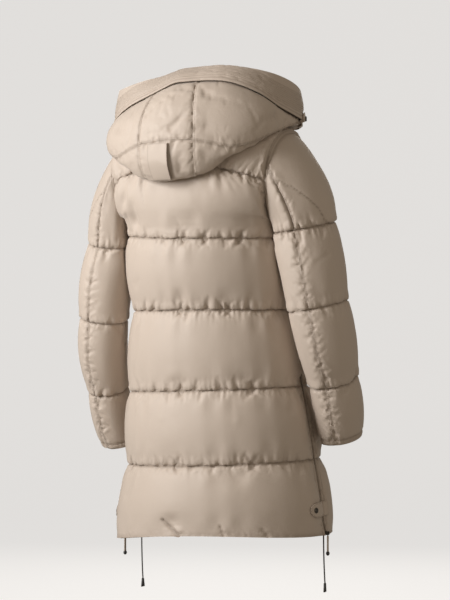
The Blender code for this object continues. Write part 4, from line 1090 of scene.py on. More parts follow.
def quilt_rows(rows):
    """Which rows of a (drop, share) list are lines of quilting, without the first and the last."""
    return [k for k, (_, share) in enumerate(rows) if share in (0.0, 1.0)][1:-1]


def middle_line(count, back):
    """A straight upright line that a piece is widened about, one place for each row."""
    return np.tile((0.0, back, 0.0), (count, 1))


sheets = {}
print("rows from the hem that are quilted:", quilt_rows(lower_rows()))

# %% Body panels
BODY_MIDDLE_BACK = 0.02
body_rows = lower_rows()
body_quilts = quilt_rows(body_rows)
yoke_quilt = len(body_rows) + UPPER_SHARES.index(YOKE_SHARE)
first_channel_quilt = len(body_rows) - 1
panels = {kind: body_panel(kind) for kind in ("back", "front_left", "front_right")}
for kind, (inner, outer) in panels.items():
    middle = middle_line(len(inner), BODY_MIDDLE_BACK)
    quilts = body_quilts + [first_channel_quilt, yoke_quilt]
    sheets[kind] = Sheet(kind, inner, outer, quilts, middle, BODY_FILLING)
print("rows of the back:", [r[0] for r in body_rows], "quilts", sheets["back"].quilts)

# %% Sleeve panels
sleeve_rows = [(None, share) for share in CHANNEL_STEPS] + channel_rows(SLEEVE_QUILTS)
sleeve_quilts = [k for k, (_, share) in enumerate(sleeve_rows) if share == 0.0][1:]
sleeve_outers = {}
for side, word in ((1, "left"), (-1, "right")):
    inner, outer = sleeve_grids(side)
    sleeve_outers[word] = outer
    middle = outer[:, :-1].mean(axis=1)
    first, last = UPPER_SLEEVE_FROM, UPPER_SLEEVE_TO
    upper = list(range(first, last + 1))
    under = list(range(last, inner.shape[1] - 1)) + list(range(first + 1))
    for name, columns in (("sleeve_upper_", upper), ("sleeve_under_", under)):
        grids = inner[:, columns], outer[:, columns]
        sheets[name + word] = Sheet(name + word, *grids, sleeve_quilts, middle, SLEEVE_FILLING)
print("sleeve quilts:", sheets["sleeve_upper_left"].quilts)

# %% Collar and hood panels
BAND_STEPS = (0.0021, 0.0070)
collar_inner, collar_outer = collar_grids()
collar_middle = collar_inner.mean(axis=1)
sheets["collar"] = Sheet("collar", collar_inner, collar_outer, [], collar_middle, COLLAR_FILLING)
sleeve_tops = [
    outer[:, UPPER_SLEEVE_FROM - 1 : UPPER_SLEEVE_TO + 1] for outer in sleeve_outers.values()
]
coarse_body = surface([outer for _, outer in panels.values()] + [collar_outer] + sleeve_tops)
hood_columns, hood_inner, hood_outer = hood_grids(coarse_body)
centre = [k for k, t in enumerate(hood_columns) if abs(t) <= HOOD_CENTRE_HALF + 1e-6]
hood_parts = {
    "left": slice(0, centre[0] + 1),
    "centre": slice(centre[0], centre[-1] + 1),
    "right": slice(centre[-1], len(hood_columns)),
}
hood_stretches = {
    "hood_base_": slice(0, HOOD_SEAM_ROW + 1),
    "hood_top_": slice(HOOD_SEAM_ROW, HOOD_CREASE_ROW + 1),
}
for stretch, rows in hood_stretches.items():
    for word, columns in hood_parts.items():
        inner, outer = hood_inner[rows, columns], hood_outer[rows, columns]
        middle = middle_line(len(inner), HOOD_MIDDLE_BACK)
        sheets[stretch + word] = Sheet(stretch + word, inner, outer, [], middle, HOOD_FILLING)
inner, outer = hood_inner[HOOD_CREASE_ROW:], hood_outer[HOOD_CREASE_ROW:]
middle = middle_line(len(inner), 0.0)
sheets["hood_band"] = Sheet("hood_band", inner, outer, [], middle, COLLAR_FILLING, BAND_STEPS)
print("sheets:", len(sheets), "points:", sum(s.start[..., 0].size for s in sheets.values()))

# %% [markdown]
# ## Filling the coat
# Down pushes each channel out while the thread holds its edges. Blender's Cloth does the same: the
# sewn points are pinned, the cloth is given its wider cut as its rest size, and pressure blows it
# up. The spare width has nowhere to go at the thread, so it folds into gathers there by itself.
# All the panels are filled at once, because Blender works on several objects side by side.

# %% Fill the panels
FILL_FRAMES = 22
GATHERED_BY = 10
CLOTH = {
    "quality": 6, "mass": 0.01, "tension_stiffness": 40, "compression_stiffness": 40,
    "shear_stiffness": 10, "bending_stiffness": 0.005, "tension_damping": 2,
    "compression_damping": 2, "shear_damping": 2, "bending_damping": 0.1, "air_damping": 2,
    "use_pressure": True, "vertex_group_mass": "sewn", "vertex_group_shrink": "plain",
}


def outward_sign(sheet):
    """1 if the faces of a grid already look away from its inner wall, and -1 if they don't."""
    normal = directions(sheet.start, 1.0)
    return 1.0 if np.sum(normal * (sheet.start - sheet.inner)) > 0 else -1.0


def group(cloth, name, weights):
    made = cloth.vertex_groups.new(name=name)
    for level in np.unique(np.round(weights.reshape(-1), 1)):
        chosen = np.flatnonzero(np.round(weights.reshape(-1), 1) == level)
        made.add(chosen.tolist(), float(level), "REPLACE")


def cloth_object(sheet):
    rows, columns = sheet.start.shape[:2]
    faces = grid_faces(rows, columns)
    if outward_sign(sheet) < 0:
        faces = faces[:, ::-1]
    mesh = bpy.data.meshes.new("filling_" + sheet.node)
    mesh.from_pydata(sheet.cut().reshape(-1, 3).tolist(), [], faces.tolist())
    cloth = linked("filling_" + sheet.node, mesh)
    group(cloth, "sewn", sheet.pinned().astype(float))
    group(cloth, "plain", sheet.plainness())
    cloth.shape_key_add(name="cut")
    worn = cloth.shape_key_add(name="worn")
    worn.data.foreach_set("co", sheet.start.reshape(-1).astype(np.float32))
    for value, number in ((0.0, 1), (1.0, GATHERED_BY)):
        worn.value = value
        worn.keyframe_insert("value", frame=number)
    filling = cloth.modifiers.new("filling", "CLOTH")
    how = filling.settings
    for setting, value in CLOTH.items():
        setattr(how, setting, value)
    how.uniform_pressure_force = sheet.filling.pressure
    how.shrink_min, how.shrink_max = -sheet.filling.ease, 0.0
    how.effector_weights.gravity = 0
    filling.collision_settings.use_collision = False
    filling.point_cache.frame_start, filling.point_cache.frame_end = 1, FILL_FRAMES
    return cloth


BROAD_PASSES = 70
MIDDLE_FOLDS = 0.04
FOLD_REACH = 0.020
UPRIGHT_PASSES = 26


def from_thread(sheet):
    """How far each point is from the nearest sewn line."""
    down, across = lengths_along(sheet.start, 0), lengths_along(sheet.start, 1)
    rows = [0, *sheet.quilts, len(down) - 1]
    away = np.min([np.abs(down - down[row]) for row in rows], axis=0)
    return np.minimum(away, np.minimum(across, across[:, -1:] - across))


def calmed(sheet, moved):
    """Keeps the folds near the thread, and eases the ones in the middle of a channel."""
    if not sheet.quilts:
        return moved
    broad = moved.copy()
    for _ in range(BROAD_PASSES):
        broad[:, 1:-1] = (broad[:, :-2] + 2 * broad[:, 1:-1] + broad[:, 2:]) / 4
    loose = ~sheet.pinned()[1:-1]
    for _ in range(UPRIGHT_PASSES):
        eased = (broad[:-2] + 2 * broad[1:-1] + broad[2:]) / 4
        broad[1:-1] = np.where(loose[..., None], eased, broad[1:-1])
    keep = MIDDLE_FOLDS + (1 - MIDDLE_FOLDS) * np.exp(-((from_thread(sheet) / FOLD_REACH) ** 2))
    return broad + (moved - broad) * keep[..., None]


def fill(chosen):
    """Gathers the sheets along their thread, blows them up, and keeps what each one became."""
    scene = bpy.context.scene
    objects = {sheet.node: cloth_object(sheet) for sheet in chosen}
    for frame_number in range(1, FILL_FRAMES + 1):
        scene.frame_set(frame_number)
    graph = bpy.context.evaluated_depsgraph_get()
    for sheet in chosen:
        cloth = objects[sheet.node]
        count = len(cloth.data.vertices)
        found = np.empty(count * 3, dtype=np.float32)
        cloth.evaluated_get(graph).data.vertices.foreach_get("co", found)
        moved = found.reshape(sheet.start.shape) - sheet.start
        far = np.maximum(np.linalg.norm(moved, axis=-1, keepdims=True), 1e-9)
        most = sheet.filling.most
        sheet.cloth = sheet.start + calmed(sheet, moved * most * np.tanh(far / most) / far)
        print(sheet.node, "moved up to", round(float(far.max()) * 1000, 1), "mm")
        bpy.data.objects.remove(cloth)
    scene.frame_set(1)


fill([sheet for name, sheet in sheets.items() if name != "hood_band"])

# %% [markdown]
# ## Keeping pieces apart
# The filled panels may swell into each other where the sleeves lie against the sides and the hood
# lies on the back. On the real coat they press each other flat there. Letting the panels collide
# while they fill would do that too, but slowly, so each sleeve is kept on its own side of one
# surface that parts it from the body, and the hood is lifted off what it lies on.

# %% Part the sleeves, the body and the hood
HOOD_CLEAR = 0.002
LIMIT_DROPS = np.linspace(0.0, 0.9, 181)
LIMITS = {side: np.array([side_limit(side, d) for d in LIMIT_DROPS]) for side in (1, -1)}


def parted(grid, outside, gap):
    """Keeps a grid on its own side of the surface between a sleeve and the body."""
    drop = -grid[..., 2]
    side = np.where(grid[..., 0] > 0, 1.0, -1.0)
    left, right = (np.interp(drop, LIMIT_DROPS, LIMITS[sign]) for sign in (1, -1))
    limit = np.where(side > 0, left, right)
    near = (drop > PARTED_FROM) & (drop < SLEEVE_FREE_DROP + (0.0 if outside else PARTED_PAST))
    reach = np.abs(grid[..., 0])
    kept = np.maximum(reach, limit + gap) if outside else np.minimum(reach, limit - gap)
    grid[..., 0] = side * np.where(near, kept, reach)


for name, sheet in sheets.items():
    if name.startswith("sleeve"):
        parted(sheet.cloth[1:], True, CONTACT_GAP)
    elif name in panels:
        parted(sheet.cloth[:, 1:-1], False, CONTACT_GAP)

body_tree = surface([s.cloth for n, s in sheets.items() if n in panels or n == "collar"]
                    + [s.cloth for n, s in sheets.items() if n.startswith("sleeve_upper")])
for name, sheet in sheets.items():
    if name.startswith("hood_base"):
        for place in np.ndindex(sheet.cloth.shape[:2]):
            if place[0]:
                sheet.cloth[place] = lifted(body_tree, sheet.cloth[place], HOOD_CLEAR)
print("sides of the coat parted between drops of", PARTED_FROM, "and", SLEEVE_FREE_DROP, "m")

# %% [markdown]
# ## Fabric
# The shell is a fine plain weave with a dry, faintly sheeny face. Its colour shifts a little from
# place to place. Close to a seam the cloth is crinkled, and in seams, grooves and creases shade is
# painted into its colour as painted shade. A picture of cloth could be wrapped round the coat.
# Patterns that are worked out at each point are used instead, because they have no seam of their
# own and stay sharp from close by.

# %% Fabric finish
def node(tree, kind, **values):
    made = tree.nodes.new(kind)
    for name, value in values.items():
        setattr(made, name, value)
    return made


def mixed(tree, kind, first, second, factor):
    """A Mix node of colours, with sockets or values for its three inputs."""
    made = node(tree, "ShaderNodeMix", data_type="RGBA", blend_type=kind)
    for socket, value in (("Factor", factor), ("A", first), ("B", second)):
        sockets = [i for i in made.inputs if i.name == socket and i.enabled]
        if hasattr(value, "is_linked"):
            tree.links.new(value, sockets[0])
        else:
            sockets[0].default_value = value
    return [o for o in made.outputs if o.enabled][0]


def bumps(tree, height, distance, strength, under=None):
    made = node(tree, "ShaderNodeBump")
    made.inputs["Distance"].default_value = distance
    made.inputs["Strength"].default_value = strength
    tree.links.new(height, made.inputs["Height"])
    if under is not None:
        tree.links.new(under, made.inputs["Normal"])
    return made.outputs["Normal"]


def noise(tree, place, scale, detail):
    made = node(tree, "ShaderNodeTexNoise")
    made.inputs["Scale"].default_value = scale
    made.inputs["Detail"].default_value = detail
    tree.links.new(place, made.inputs["Vector"])
    return made.outputs["Fac"]


def waves(tree, place, scale, direction):
    made = node(tree, "ShaderNodeTexWave", bands_direction=direction)
    made.inputs["Scale"].default_value = scale
    tree.links.new(place, made.inputs["Vector"])
    return made.outputs["Fac"]


def times(tree, first, second, operation="MULTIPLY"):
    """A Math node, with sockets or values for its two inputs."""
    made = node(tree, "ShaderNodeMath", operation=operation)
    for k, value in enumerate((first, second)):
        if hasattr(value, "is_linked"):
            tree.links.new(value, made.inputs[k])
        else:
            made.inputs[k].default_value = value
    return made.outputs[0]


def plain_finish(name, colour, roughness, metallic=0.0):
    made = bpy.data.materials.new(name)
    made.use_nodes = True
    shader = made.node_tree.nodes["Principled BSDF"]
    shader.inputs["Base Color"].default_value = (*colour, 1.0)
    shader.inputs["Roughness"].default_value = roughness
    shader.inputs["Metallic"].default_value = metallic
    return made, made.node_tree, shader


PATCH_SCALE = 7.0  # a patch of lighter cloth about every 140 mm
FLECK_SCALE, FLECK_SHARE = 900.0, 0.45
FLECK_TINT = (0.86, 0.85, 0.84, 1.0)
# Painted shade: the colour is multiplied towards this in seams, grooves, creases and strip edges.
PAINTED_SHADE_TINT = (0.44, 0.40, 0.36, 1.0)
SHEEN_TINT = (1.0, 0.97, 0.93, 1.0)
WEAVE_SCALE = 520.0  # a thread every 0.6 mm
CREASE_SCALE = 70.0
WRINKLE_SCALE = 38.0  # a sharp crease about every 25 mm
WRINKLE_SHARPNESS = 10.0
CRINKLE_SCALE = 210.0
RELIEFS = {  # how high in metres, and how strongly it shows
    "weave": (0.00010, 0.5), "creases": (0.0010, 0.22), "wrinkles": (0.0022, 0.55),
    "crinkles": (0.0016, 0.6),
}


def fabric(name, light, dark, roughness, sheen):
    """Woven cloth: painted shade and crinkles where marked, and wrinkles where rumpled."""
    made, tree, shader = plain_finish(name, light, roughness)
    shader.inputs["Sheen Weight"].default_value = sheen
    shader.inputs["Sheen Roughness"].default_value = 0.40
    shader.inputs["Sheen Tint"].default_value = SHEEN_TINT
    shader.inputs["Specular IOR Level"].default_value = 0.40
    places = node(tree, "ShaderNodeTexCoord")
    solid, flat = places.outputs["Object"], places.outputs["UV"]
    crushed, rumpled = (
        node(tree, "ShaderNodeAttribute", attribute_name=mark).outputs["Fac"]
        for mark in ("crushed", "rumpled")
    )
    patches = noise(tree, solid, PATCH_SCALE, 5.0)
    flecks = times(tree, noise(tree, flat, FLECK_SCALE, 1.0), FLECK_SHARE)
    colour = mixed(tree, "MIX", (*dark, 1.0), (*light, 1.0), patches)
    colour = mixed(tree, "MULTIPLY", colour, FLECK_TINT, flecks)
    # Painted shade: seams, grooves, creases and strip edges are darkened in the colour.
    colour = mixed(tree, "MULTIPLY", colour, PAINTED_SHADE_TINT, crushed)
    tree.links.new(colour, shader.inputs["Base Color"])
    threads = [waves(tree, flat, WEAVE_SCALE, direction) for direction in ("X", "Y")]
    relief = bumps(tree, times(tree, *threads), *RELIEFS["weave"])
    relief = bumps(tree, noise(tree, solid, CREASE_SCALE, 4.0), *RELIEFS["creases"], relief)
    # A noise is 0.5 along thin lines. How far it is from 0.5 makes sharp valleys along them.
    wrinkles = times(tree, noise(tree, solid, WRINKLE_SCALE, 3.0), 0.5, "SUBTRACT")
    away = times(tree, times(tree, wrinkles, 0.0, "ABSOLUTE"), WRINKLE_SHARPNESS)
    valleys = times(tree, away, 1.0, "MINIMUM")
    relief = bumps(tree, times(tree, valleys, rumpled), *RELIEFS["wrinkles"], relief)
    near_thread = times(tree, noise(tree, solid, CRINKLE_SCALE, 3.0), crushed)
    relief = bumps(tree, near_thread, *RELIEFS["crinkles"], relief)
    tree.links.new(relief, shader.inputs["Normal"])
    return made


def patterned(tree, shader, pattern, dark, light, distance, strength):
    """Lets one pattern set both the tone and the fine relief of a finish."""
    tone = mixed(tree, "MIX", (*dark, 1.0), (*light, 1.0), pattern)
    tree.links.new(tone, shader.inputs["Base Color"])
    tree.links.new(bumps(tree, pattern, distance, strength), shader.inputs["Normal"])


def flecked(name, light, dark, roughness, scale, metallic=0.0):
    """A small thing's finish: its tone shifts from one stitch or tooth to the next."""
    made, tree, shader = plain_finish(name, light, roughness, metallic)
    flecks = noise(tree, node(tree, "ShaderNodeTexCoord").outputs["Object"], scale, 2.0)
    patterned(tree, shader, flecks, dark, light, 0.00008, 0.5)
    return made


shell = fabric("coat_cloth", (0.533, 0.445, 0.374), (0.486, 0.404, 0.336), 0.56, 0.25)
thread_finish = flecked("thread", (0.37, 0.29, 0.23), (0.28, 0.22, 0.17), 0.6, 600.0)
teeth_finish = flecked("zip_teeth", (0.070, 0.064, 0.058), (0.035, 0.032, 0.030), 0.38, 500.0, 0.6)
print("finishes:", shell.name, thread_finish.name, teeth_finish.name)

# %% [markdown]
# The zips are sewn to a ribbed tape, the sliders and press studs are dark plated metal, the
# drawcord is braided, and the small grips are moulded rubber. A plain colour would do from far
# away. Each of them gets the one pattern that gives it away from close by: ribs, scuffs, crossing
# strands or a fine grain.

# %% Tape, metal, cord and rubber finishes
TAPE_RIBS = 260.0
SCUFF_SCALE = 420.0
STRAND_SCALE, STRAND_TURN = 230.0, 0.85


def zip_tape():
    """Ribbed tape: fine cords run along it."""
    made, tree, shader = plain_finish("zip_tape", (0.30, 0.24, 0.19), 0.75)
    ribs = waves(tree, node(tree, "ShaderNodeTexCoord").outputs["Object"], TAPE_RIBS, "Z")
    patterned(tree, shader, ribs, (0.25, 0.20, 0.155), (0.33, 0.265, 0.21), 0.0002, 0.6)
    return made


def satin_metal():
    """Dark plated metal with small scuffs that are rougher and lighter."""
    made, tree, shader = plain_finish("satin_metal", (0.085, 0.078, 0.070), 0.36, 0.9)
    places = node(tree, "ShaderNodeTexCoord").outputs["Object"]
    scuffs = noise(tree, places, SCUFF_SCALE, 4.0)
    rough = node(tree, "ShaderNodeMapRange")
    for end, value in (("From Min", 0.35), ("From Max", 0.7), ("To Min", 0.30), ("To Max", 0.52)):
        rough.inputs[end].default_value = value
    tree.links.new(scuffs, rough.inputs["Value"])
    tree.links.new(rough.outputs[0], shader.inputs["Roughness"])
    patterned(tree, shader, scuffs, (0.06, 0.055, 0.05), (0.13, 0.12, 0.105), 0.00006, 0.5)
    return made


def braid():
    """Strands that cross round the cord, drawn on its own unrolled surface."""
    made, tree, shader = plain_finish("braided_cord", (0.03, 0.027, 0.024), 0.7)
    places = node(tree, "ShaderNodeTexCoord").outputs["UV"]
    strands = []
    for turn in (STRAND_TURN, -STRAND_TURN):
        turned = node(tree, "ShaderNodeMapping")
        turned.inputs["Rotation"].default_value = (0.0, 0.0, turn)
        tree.links.new(places, turned.inputs["Vector"])
        strands.append(waves(tree, turned.outputs["Vector"], STRAND_SCALE, "X"))
    braided = times(tree, *strands, operation="MAXIMUM")
    patterned(tree, shader, braided, (0.016, 0.014, 0.012), (0.06, 0.052, 0.045), 0.0003, 0.8)
    return made


tape_finish, metal_finish, cord_finish = zip_tape(), satin_metal(), braid()
rubber_finish = flecked("moulded_rubber", (0.034, 0.032, 0.030), (0.018, 0.017, 0.016), 0.52, 900.0)
for name, made in frame["nodes"].items():
    if name.endswith("_zip") or name.startswith("side_zip"):
        made.material_slots[0].material = tape_finish
    if name.endswith("_slider"):
        made.material_slots[0].material = metal_finish
print("small finishes:", tape_finish.name, metal_finish.name, cord_finish.name, rubber_finish.name)

# %% [markdown]
# ## Sewn lines
# Every line of thread does three things to the cloth. It pulls it down into a groove, it gathers it
# in small valleys that run away from the thread and fade out, and it crinkles it, with painted
# shade that darkens the cloth's colour along it. Each sheet keeps a dip and a painted shade for
# every point, and every line adds to both. Sculpting by hand would give the same look once, but a
# line that is written down can be moved, and the stitches can follow it at the end.

# %% How a line of thread changes a sheet
THREAD_DIP, THREAD_WIDTH = 0.0030, 0.0030
MOST_DIP = 0.0066
SAG, SAG_PLACE, SAG_WIDTH = 0.0036, 0.0050, 0.0060  # a channel hangs over the thread below it
SAG_RANGE, SAG_PLACES = (0.55, 1.15), np.arange(0, 1.2, 0.045)
LIP, LIP_PLACE, LIP_WIDTH = 0.0016, 0.0100, 0.0070
NOTCH, NOTCH_SHARE = 0.0034, 0.8
EDGE_DIP, EDGE_REACH = 0.0006, 0.0045
CREASE_POINTS = 24
CREASE_WIDTHS = (0.35, 0.65)  # a crease is this narrow at its end, and so much wider at its start
Gathers = collections.namedtuple("Gathers", "depth spacing reach lean")
QUILT_GATHERS = (Gathers(0.0058, 0.0260, 0.0340, 0.0), Gathers(0.0036, 0.0100, 0.0130, 0.0))
SEAM_GATHERS = (Gathers(0.0034, 0.0150, 0.0280, 0.45), Gathers(0.0020, 0.0075, 0.0120, 0.3))
HOOD_GATHERS = (Gathers(0.0046, 0.0180, 0.0280, 0.3), Gathers(0.0030, 0.0085, 0.0130, 0.0))
RUMPLED_FROM = 0.001  # gathers less deep than this leave the cloth beside them smooth
RUMPLED_MOST, RUMPLED_REACH = 0.45, 0.55
TOPSTITCH_GATHERS = (Gathers(0.0007, 0.0070, 0.0090, 0.0),)
# Each gather draws its own pitch, width, reach and depth, as shares of its kind's.
PITCH_RANGE, WIDTH_RANGE = (0.45, 1.6), (0.16, 0.30)
REACH_RANGE, DEPTH_RANGE = (0.3, 1.0), (0.25, 1.0)
LEAN_SPREAD, DEPTH_POWER = 0.3, 1.5
VALLEY_SPREAD, VALLEY_TAPER, VALLEY_LEAST = 1.25, 0.8, 0.4
RIDGE_SHARE, RIDGE_PLACE = 0.35, 2.1  # the cloth rises a little beside each valley
GATHER_START = 0.002
FINE_STEP = 0.0027


class Dressing:
    """The fine surface of one sheet while thread is being put in it."""

    def __init__(self, sheet):
        self.fine = halved(sheet.cloth, sheet.quilts)
        self.quilts = [2 * k for k in sheet.quilts]
        self.sign = outward_sign(sheet)
        self.lengths = [lengths_along(self.fine, 0), lengths_along(self.fine, 1)]
        still = (np.zeros(self.fine.shape[:2]) for _ in range(4))
        self.dip, self.sag, self.shade, self.rumpled = still
        self.lines = []

    def away(self, axis, index):
        """How far each point is from one row (axis 0) or one column (axis 1)."""
        lengths = self.lengths[axis]
        start = lengths[index : index + 1] if axis == 0 else lengths[:, index][:, None]
        return lengths - start

    def groove(
        self, axis, index, offset=0.0, depth=THREAD_DIP, width=THREAD_WIDTH, shade=0.5, reach=None
    ):
        """A valley along a row or a column, or along the part of it that reach picks out."""
        near = np.exp(-(((self.away(axis, index) - offset) / width) ** 2))
        if reach is not None:
            near = near * (reach[:, None] if axis == 1 else reach[None, :])
        self.dip += depth * near
        # Painted shade along the valley, darkest at its middle.
        self.shade = np.maximum(self.shade, shade * near)

    def overhang(self, row, rng):
        """Lets the channel above a line of quilting hang a little over the thread."""
        up = 1.0 if self.fine[row + 5, :, 2].mean() > self.fine[row, :, 2].mean() else -1.0
        above = self.away(0, row) * up
        levels = rng.uniform(*SAG_RANGE, len(SAG_PLACES))
        notch = np.clip(self.dip[row + int(3 * up)] / NOTCH, 0.0, 1.0)
        uneven = np.interp(self.lengths[1][row], SAG_PLACES, levels) * (1 - NOTCH_SHARE * notch)
        self.sag += SAG * uneven * np.exp(-(((above - SAG_PLACE) / SAG_WIDTH) ** 2)) * (above > 0)
        self.dip -= LIP * uneven * np.exp(-(((above - LIP_PLACE) / LIP_WIDTH) ** 2))

    def crease(self, places, depth, width, shade=0.0, taper=1.0):
        """A valley along a free line through (row, column) places, which fades towards its end."""
        places = np.array(places, dtype=float)
        steps = np.linspace(0, 1, CREASE_POINTS)
        spread = np.linspace(0, 1, len(places))
        rows, columns = (np.interp(steps, spread, places[:, k]) for k in (0, 1))
        line = self.fine[np.round(rows).astype(int), np.round(columns).astype(int)]
        away = np.linalg.norm(self.fine[:, :, None] - line, axis=-1)
        nearest = away.argmin(axis=-1)
        away = away.min(axis=-1)
        fade = 1 - taper * steps[nearest]
        widths = width * (CREASE_WIDTHS[0] + CREASE_WIDTHS[1] * fade)
        near = fade * np.exp(-((away / widths) ** 2))
        self.dip += depth * near
        # Painted shade along the crease, darkest at its middle.
        self.shade = np.maximum(self.shade, shade * near)
        return np.stack([rows, columns], axis=-1)

    def gather(self, axis, index, offset, kinds, rng, scale=1.0):
        """Notches on both sides of a line, widest at the thread."""
        away = self.away(axis, index) - offset
        if kinds[0].depth > RUMPLED_FROM:
            near = np.exp(-((away / (RUMPLED_REACH * kinds[0].reach)) ** 2))
            self.rumpled = np.maximum(self.rumpled, RUMPLED_MOST * scale * near)
        along = self.lengths[1 - axis]
        along = along[index] if axis == 0 else along[:, index]
        if axis == 1:
            away = away.T
        dip = np.zeros(away.shape)
        for kind in kinds:
            for sign in (-1, 1):
                place = 0.0
                far = away * sign
                while place < along[-1]:
                    place += kind.spacing * rng.uniform(*PITCH_RANGE)
                    width = rng.uniform(*WIDTH_RANGE) * kind.spacing
                    length = kind.reach * rng.uniform(*REACH_RANGE)
                    lean = rng.normal(kind.lean, LEAN_SPREAD)
                    strength = kind.depth * scale * rng.uniform(*DEPTH_RANGE) ** DEPTH_POWER
                    shift = along[None, :] - place + lean * far
                    taper = VALLEY_SPREAD - VALLEY_TAPER * far / length
                    spread = width * np.clip(taper, VALLEY_LEAST, VALLEY_SPREAD)
                    valley = np.exp(-((shift / spread) ** 2))
                    ridge = np.exp(-(((shift - RIDGE_PLACE * width) / spread) ** 2))
                    start = np.clip(far / GATHER_START, 0.0, 1.0)
                    fade = np.clip(1 - far / length, 0.0, 1.0) * start
                    dip += strength * (valley - RIDGE_SHARE * ridge) * fade
        self.dip += dip if axis == 0 else dip.T

    def rumple(self, count, depth, width, length, rumpled, rng):
        """Short soft creases at random places, as in cloth that has been worn."""
        rows, columns = self.fine.shape[:2]
        for _ in range(count):
            row, column = rng.uniform(0.05, 0.95) * rows, rng.uniform(0.05, 0.95) * columns
            angle = rng.uniform(0, math.pi)
            reach = length * rng.uniform(0.5, 1.3) / FINE_STEP
            end = (row + reach * math.sin(angle), column + reach * math.cos(angle))
            end = (np.clip(end[0], 1, rows - 2), np.clip(end[1], 1, columns - 2))
            sign = rng.choice((-0.6, 1.0))
            self.crease([(row, column), end], sign * depth * rng.uniform(0.5, 1.0), width)
        self.rumpled = np.maximum(self.rumpled, rumpled)

    def thread(self, axis, index, offset, name, reach=None):
        """Keeps the path of a line for its stitches, as (row, column) places on the grid."""
        path = []
        count = self.fine.shape[1 - axis]
        for k in range(count) if reach is None else np.flatnonzero(reach):
            line = self.lengths[0][:, k] if axis == 0 else self.lengths[1][k]
            where = np.interp(line[index] + offset, line, np.arange(len(line)))
            path.append((where, k) if axis == 0 else (k, where))
        self.lines.append((name, np.array(path, dtype=float)))

    def sewn(self, axis, index, offset, name, rng, **groove):
        """A whole line of topstitching: its gathers, its groove and its thread."""
        self.gather(axis, index, offset, TOPSTITCH_GATHERS, rng)
        self.groove(axis, index, offset, **groove)
        self.thread(axis, index, offset, name)

    def place(self, rows, columns):
        """Points and outward directions at fractional places of the finished grid."""
        row = np.clip(np.floor(rows).astype(int), 0, self.fine.shape[0] - 2)
        column = np.clip(np.floor(columns).astype(int), 0, self.fine.shape[1] - 2)
        down, aside = (rows - row)[:, None], (columns - column)[:, None]

        def between(values):
            first, second = (
                values[r, column] * (1 - aside) + values[r, column + 1] * aside
                for r in (row, row + 1)
            )
            return first * (1 - down) + second * down

        return between(self.done), between(self.outward)

    def settle(self, axis, index, depth=EDGE_DIP):
        """Brings an edge to one depth, so that it meets the edge of the next piece."""
        free = np.clip(np.abs(self.away(axis, index)) / EDGE_REACH, 0.0, 1.0)
        self.dip = depth + (self.dip - depth) * free
        self.sag *= free

    def finish(self):
        """Moves every point in by its dip and down by its sag, and keeps where that leads."""
        depth = MOST_DIP * np.tanh(self.dip / MOST_DIP)
        self.done = self.fine - directions(self.fine, self.sign) * depth[..., None]
        self.done[..., 2] -= self.sag
        self.outward = directions(self.done, self.sign)


rng = np.random.default_rng(11)
dressings = {name: Dressing(sheet) for name, sheet in sheets.items()}
print("points on the outside:", sum(d.dip.size for d in dressings.values()))

# %% [markdown]
# The body and the sleeves are quilted row by row, so each row gets a deep groove, long gathers and
# cloth that hangs over it from above. A seam gathers less, and a line of topstitching only marks
# the cloth. The three are drawn as one kind of line with different numbers.

# %% Body and sleeve lines
ZIP_TOPSTITCH = 0.0065
opened = zip_rows()[1]
for name, dressing in dressings.items():
    last = dressing.fine.shape[1] - 1
    if name.startswith(("back", "front", "sleeve")):
        for row in dressing.quilts:
            dressing.gather(0, row, 0.0, QUILT_GATHERS, rng)
            dressing.overhang(row, rng)
            # Painted shade along each line of quilting.
            dressing.groove(0, row, shade=0.8)
            dressing.thread(0, row, 0.0, "quilt")
        edge_depth = 0.0004 if name.startswith("sleeve") else 0.0012
        for column in (0, last):
            dressing.groove(1, column, depth=edge_depth, width=0.0020, shade=0.5)
            dressing.gather(1, column, 0.0, SEAM_GATHERS, rng)
    if name.startswith("sleeve"):
        end = len(dressing.fine) - 1
        dressing.sewn(0, end, -0.0110, "cuff", rng, depth=0.0016, shade=0.5)
        # A band 5 mm in from the cuff's edge is darkened in colour, without a groove.
        dressing.groove(0, end, -0.0050, depth=0.0, width=0.0060, shade=0.30)
        for offset in (0.0030, 0.0095):
            dressing.sewn(0, 0, offset, "armhole", rng, depth=0.0009, shade=0.4)
    elif name in panels:
        sides = ((0, 1), (last, -1)) if name == "back" else ((0, 1),)
        for column, inward in sides:
            low = dressing.fine[:, column, 2] < -opened
            offset = inward * ZIP_TOPSTITCH
            dressing.groove(1, column, offset, depth=0.0012, width=0.0020, shade=0.4, reach=low)
            dressing.thread(1, column, offset, "zip", low)
        if name != "back":
            dressing.sewn(1, last, -ZIP_TOPSTITCH, "zip", rng, depth=0.0010, shade=0.3)
        dressing.groove(0, 0, depth=0.0010, width=0.0060, shade=0.45)
        dressing.gather(0, 0, 0.0, SEAM_GATHERS, rng, 0.6)
print("lines of thread so far:", sum(len(d.lines) for d in dressings.values()))

# %% [markdown]
# A seam runs down the back of each sleeve, and a second one slants across it from the armhole. The
# first follows a column of the sheet. The second crosses rows and columns, so it is drawn as a free
# crease that doesn't fade.

# %% The sleeves' back seams and slanting lines
SLANT = ((0.30, 0.02), (0.61, 0.153), (0.81, 0.25), (1.0, 0.37))
for word in ("left", "right"):
    for name in ("sleeve_upper_", "sleeve_under_"):
        dressing = dressings[name + word]
        last = dressing.fine.shape[1] - 1
        ends = dressing.fine[:, [0, last]]
        backmost = 0 if ends[:, 0, 1].mean() > ends[:, 1, 1].mean() else last
        inward = 1 if backmost == 0 else -1
        dressing.sewn(1, backmost, inward * 0.0030, "sleeve", rng, depth=0.0009, shade=0.3)
        if name == "sleeve_upper_":
            first = dressing.quilts[0]
            slant = [(r * first, backmost + inward * c * last) for r, c in SLANT]
            path = dressing.crease(slant, 0.0014, 0.0022, 0.5, taper=0.0)
            dressing.lines.append(("slant", path))
print("slanting seams on the upper sleeves, through", SLANT, "of each sheet")
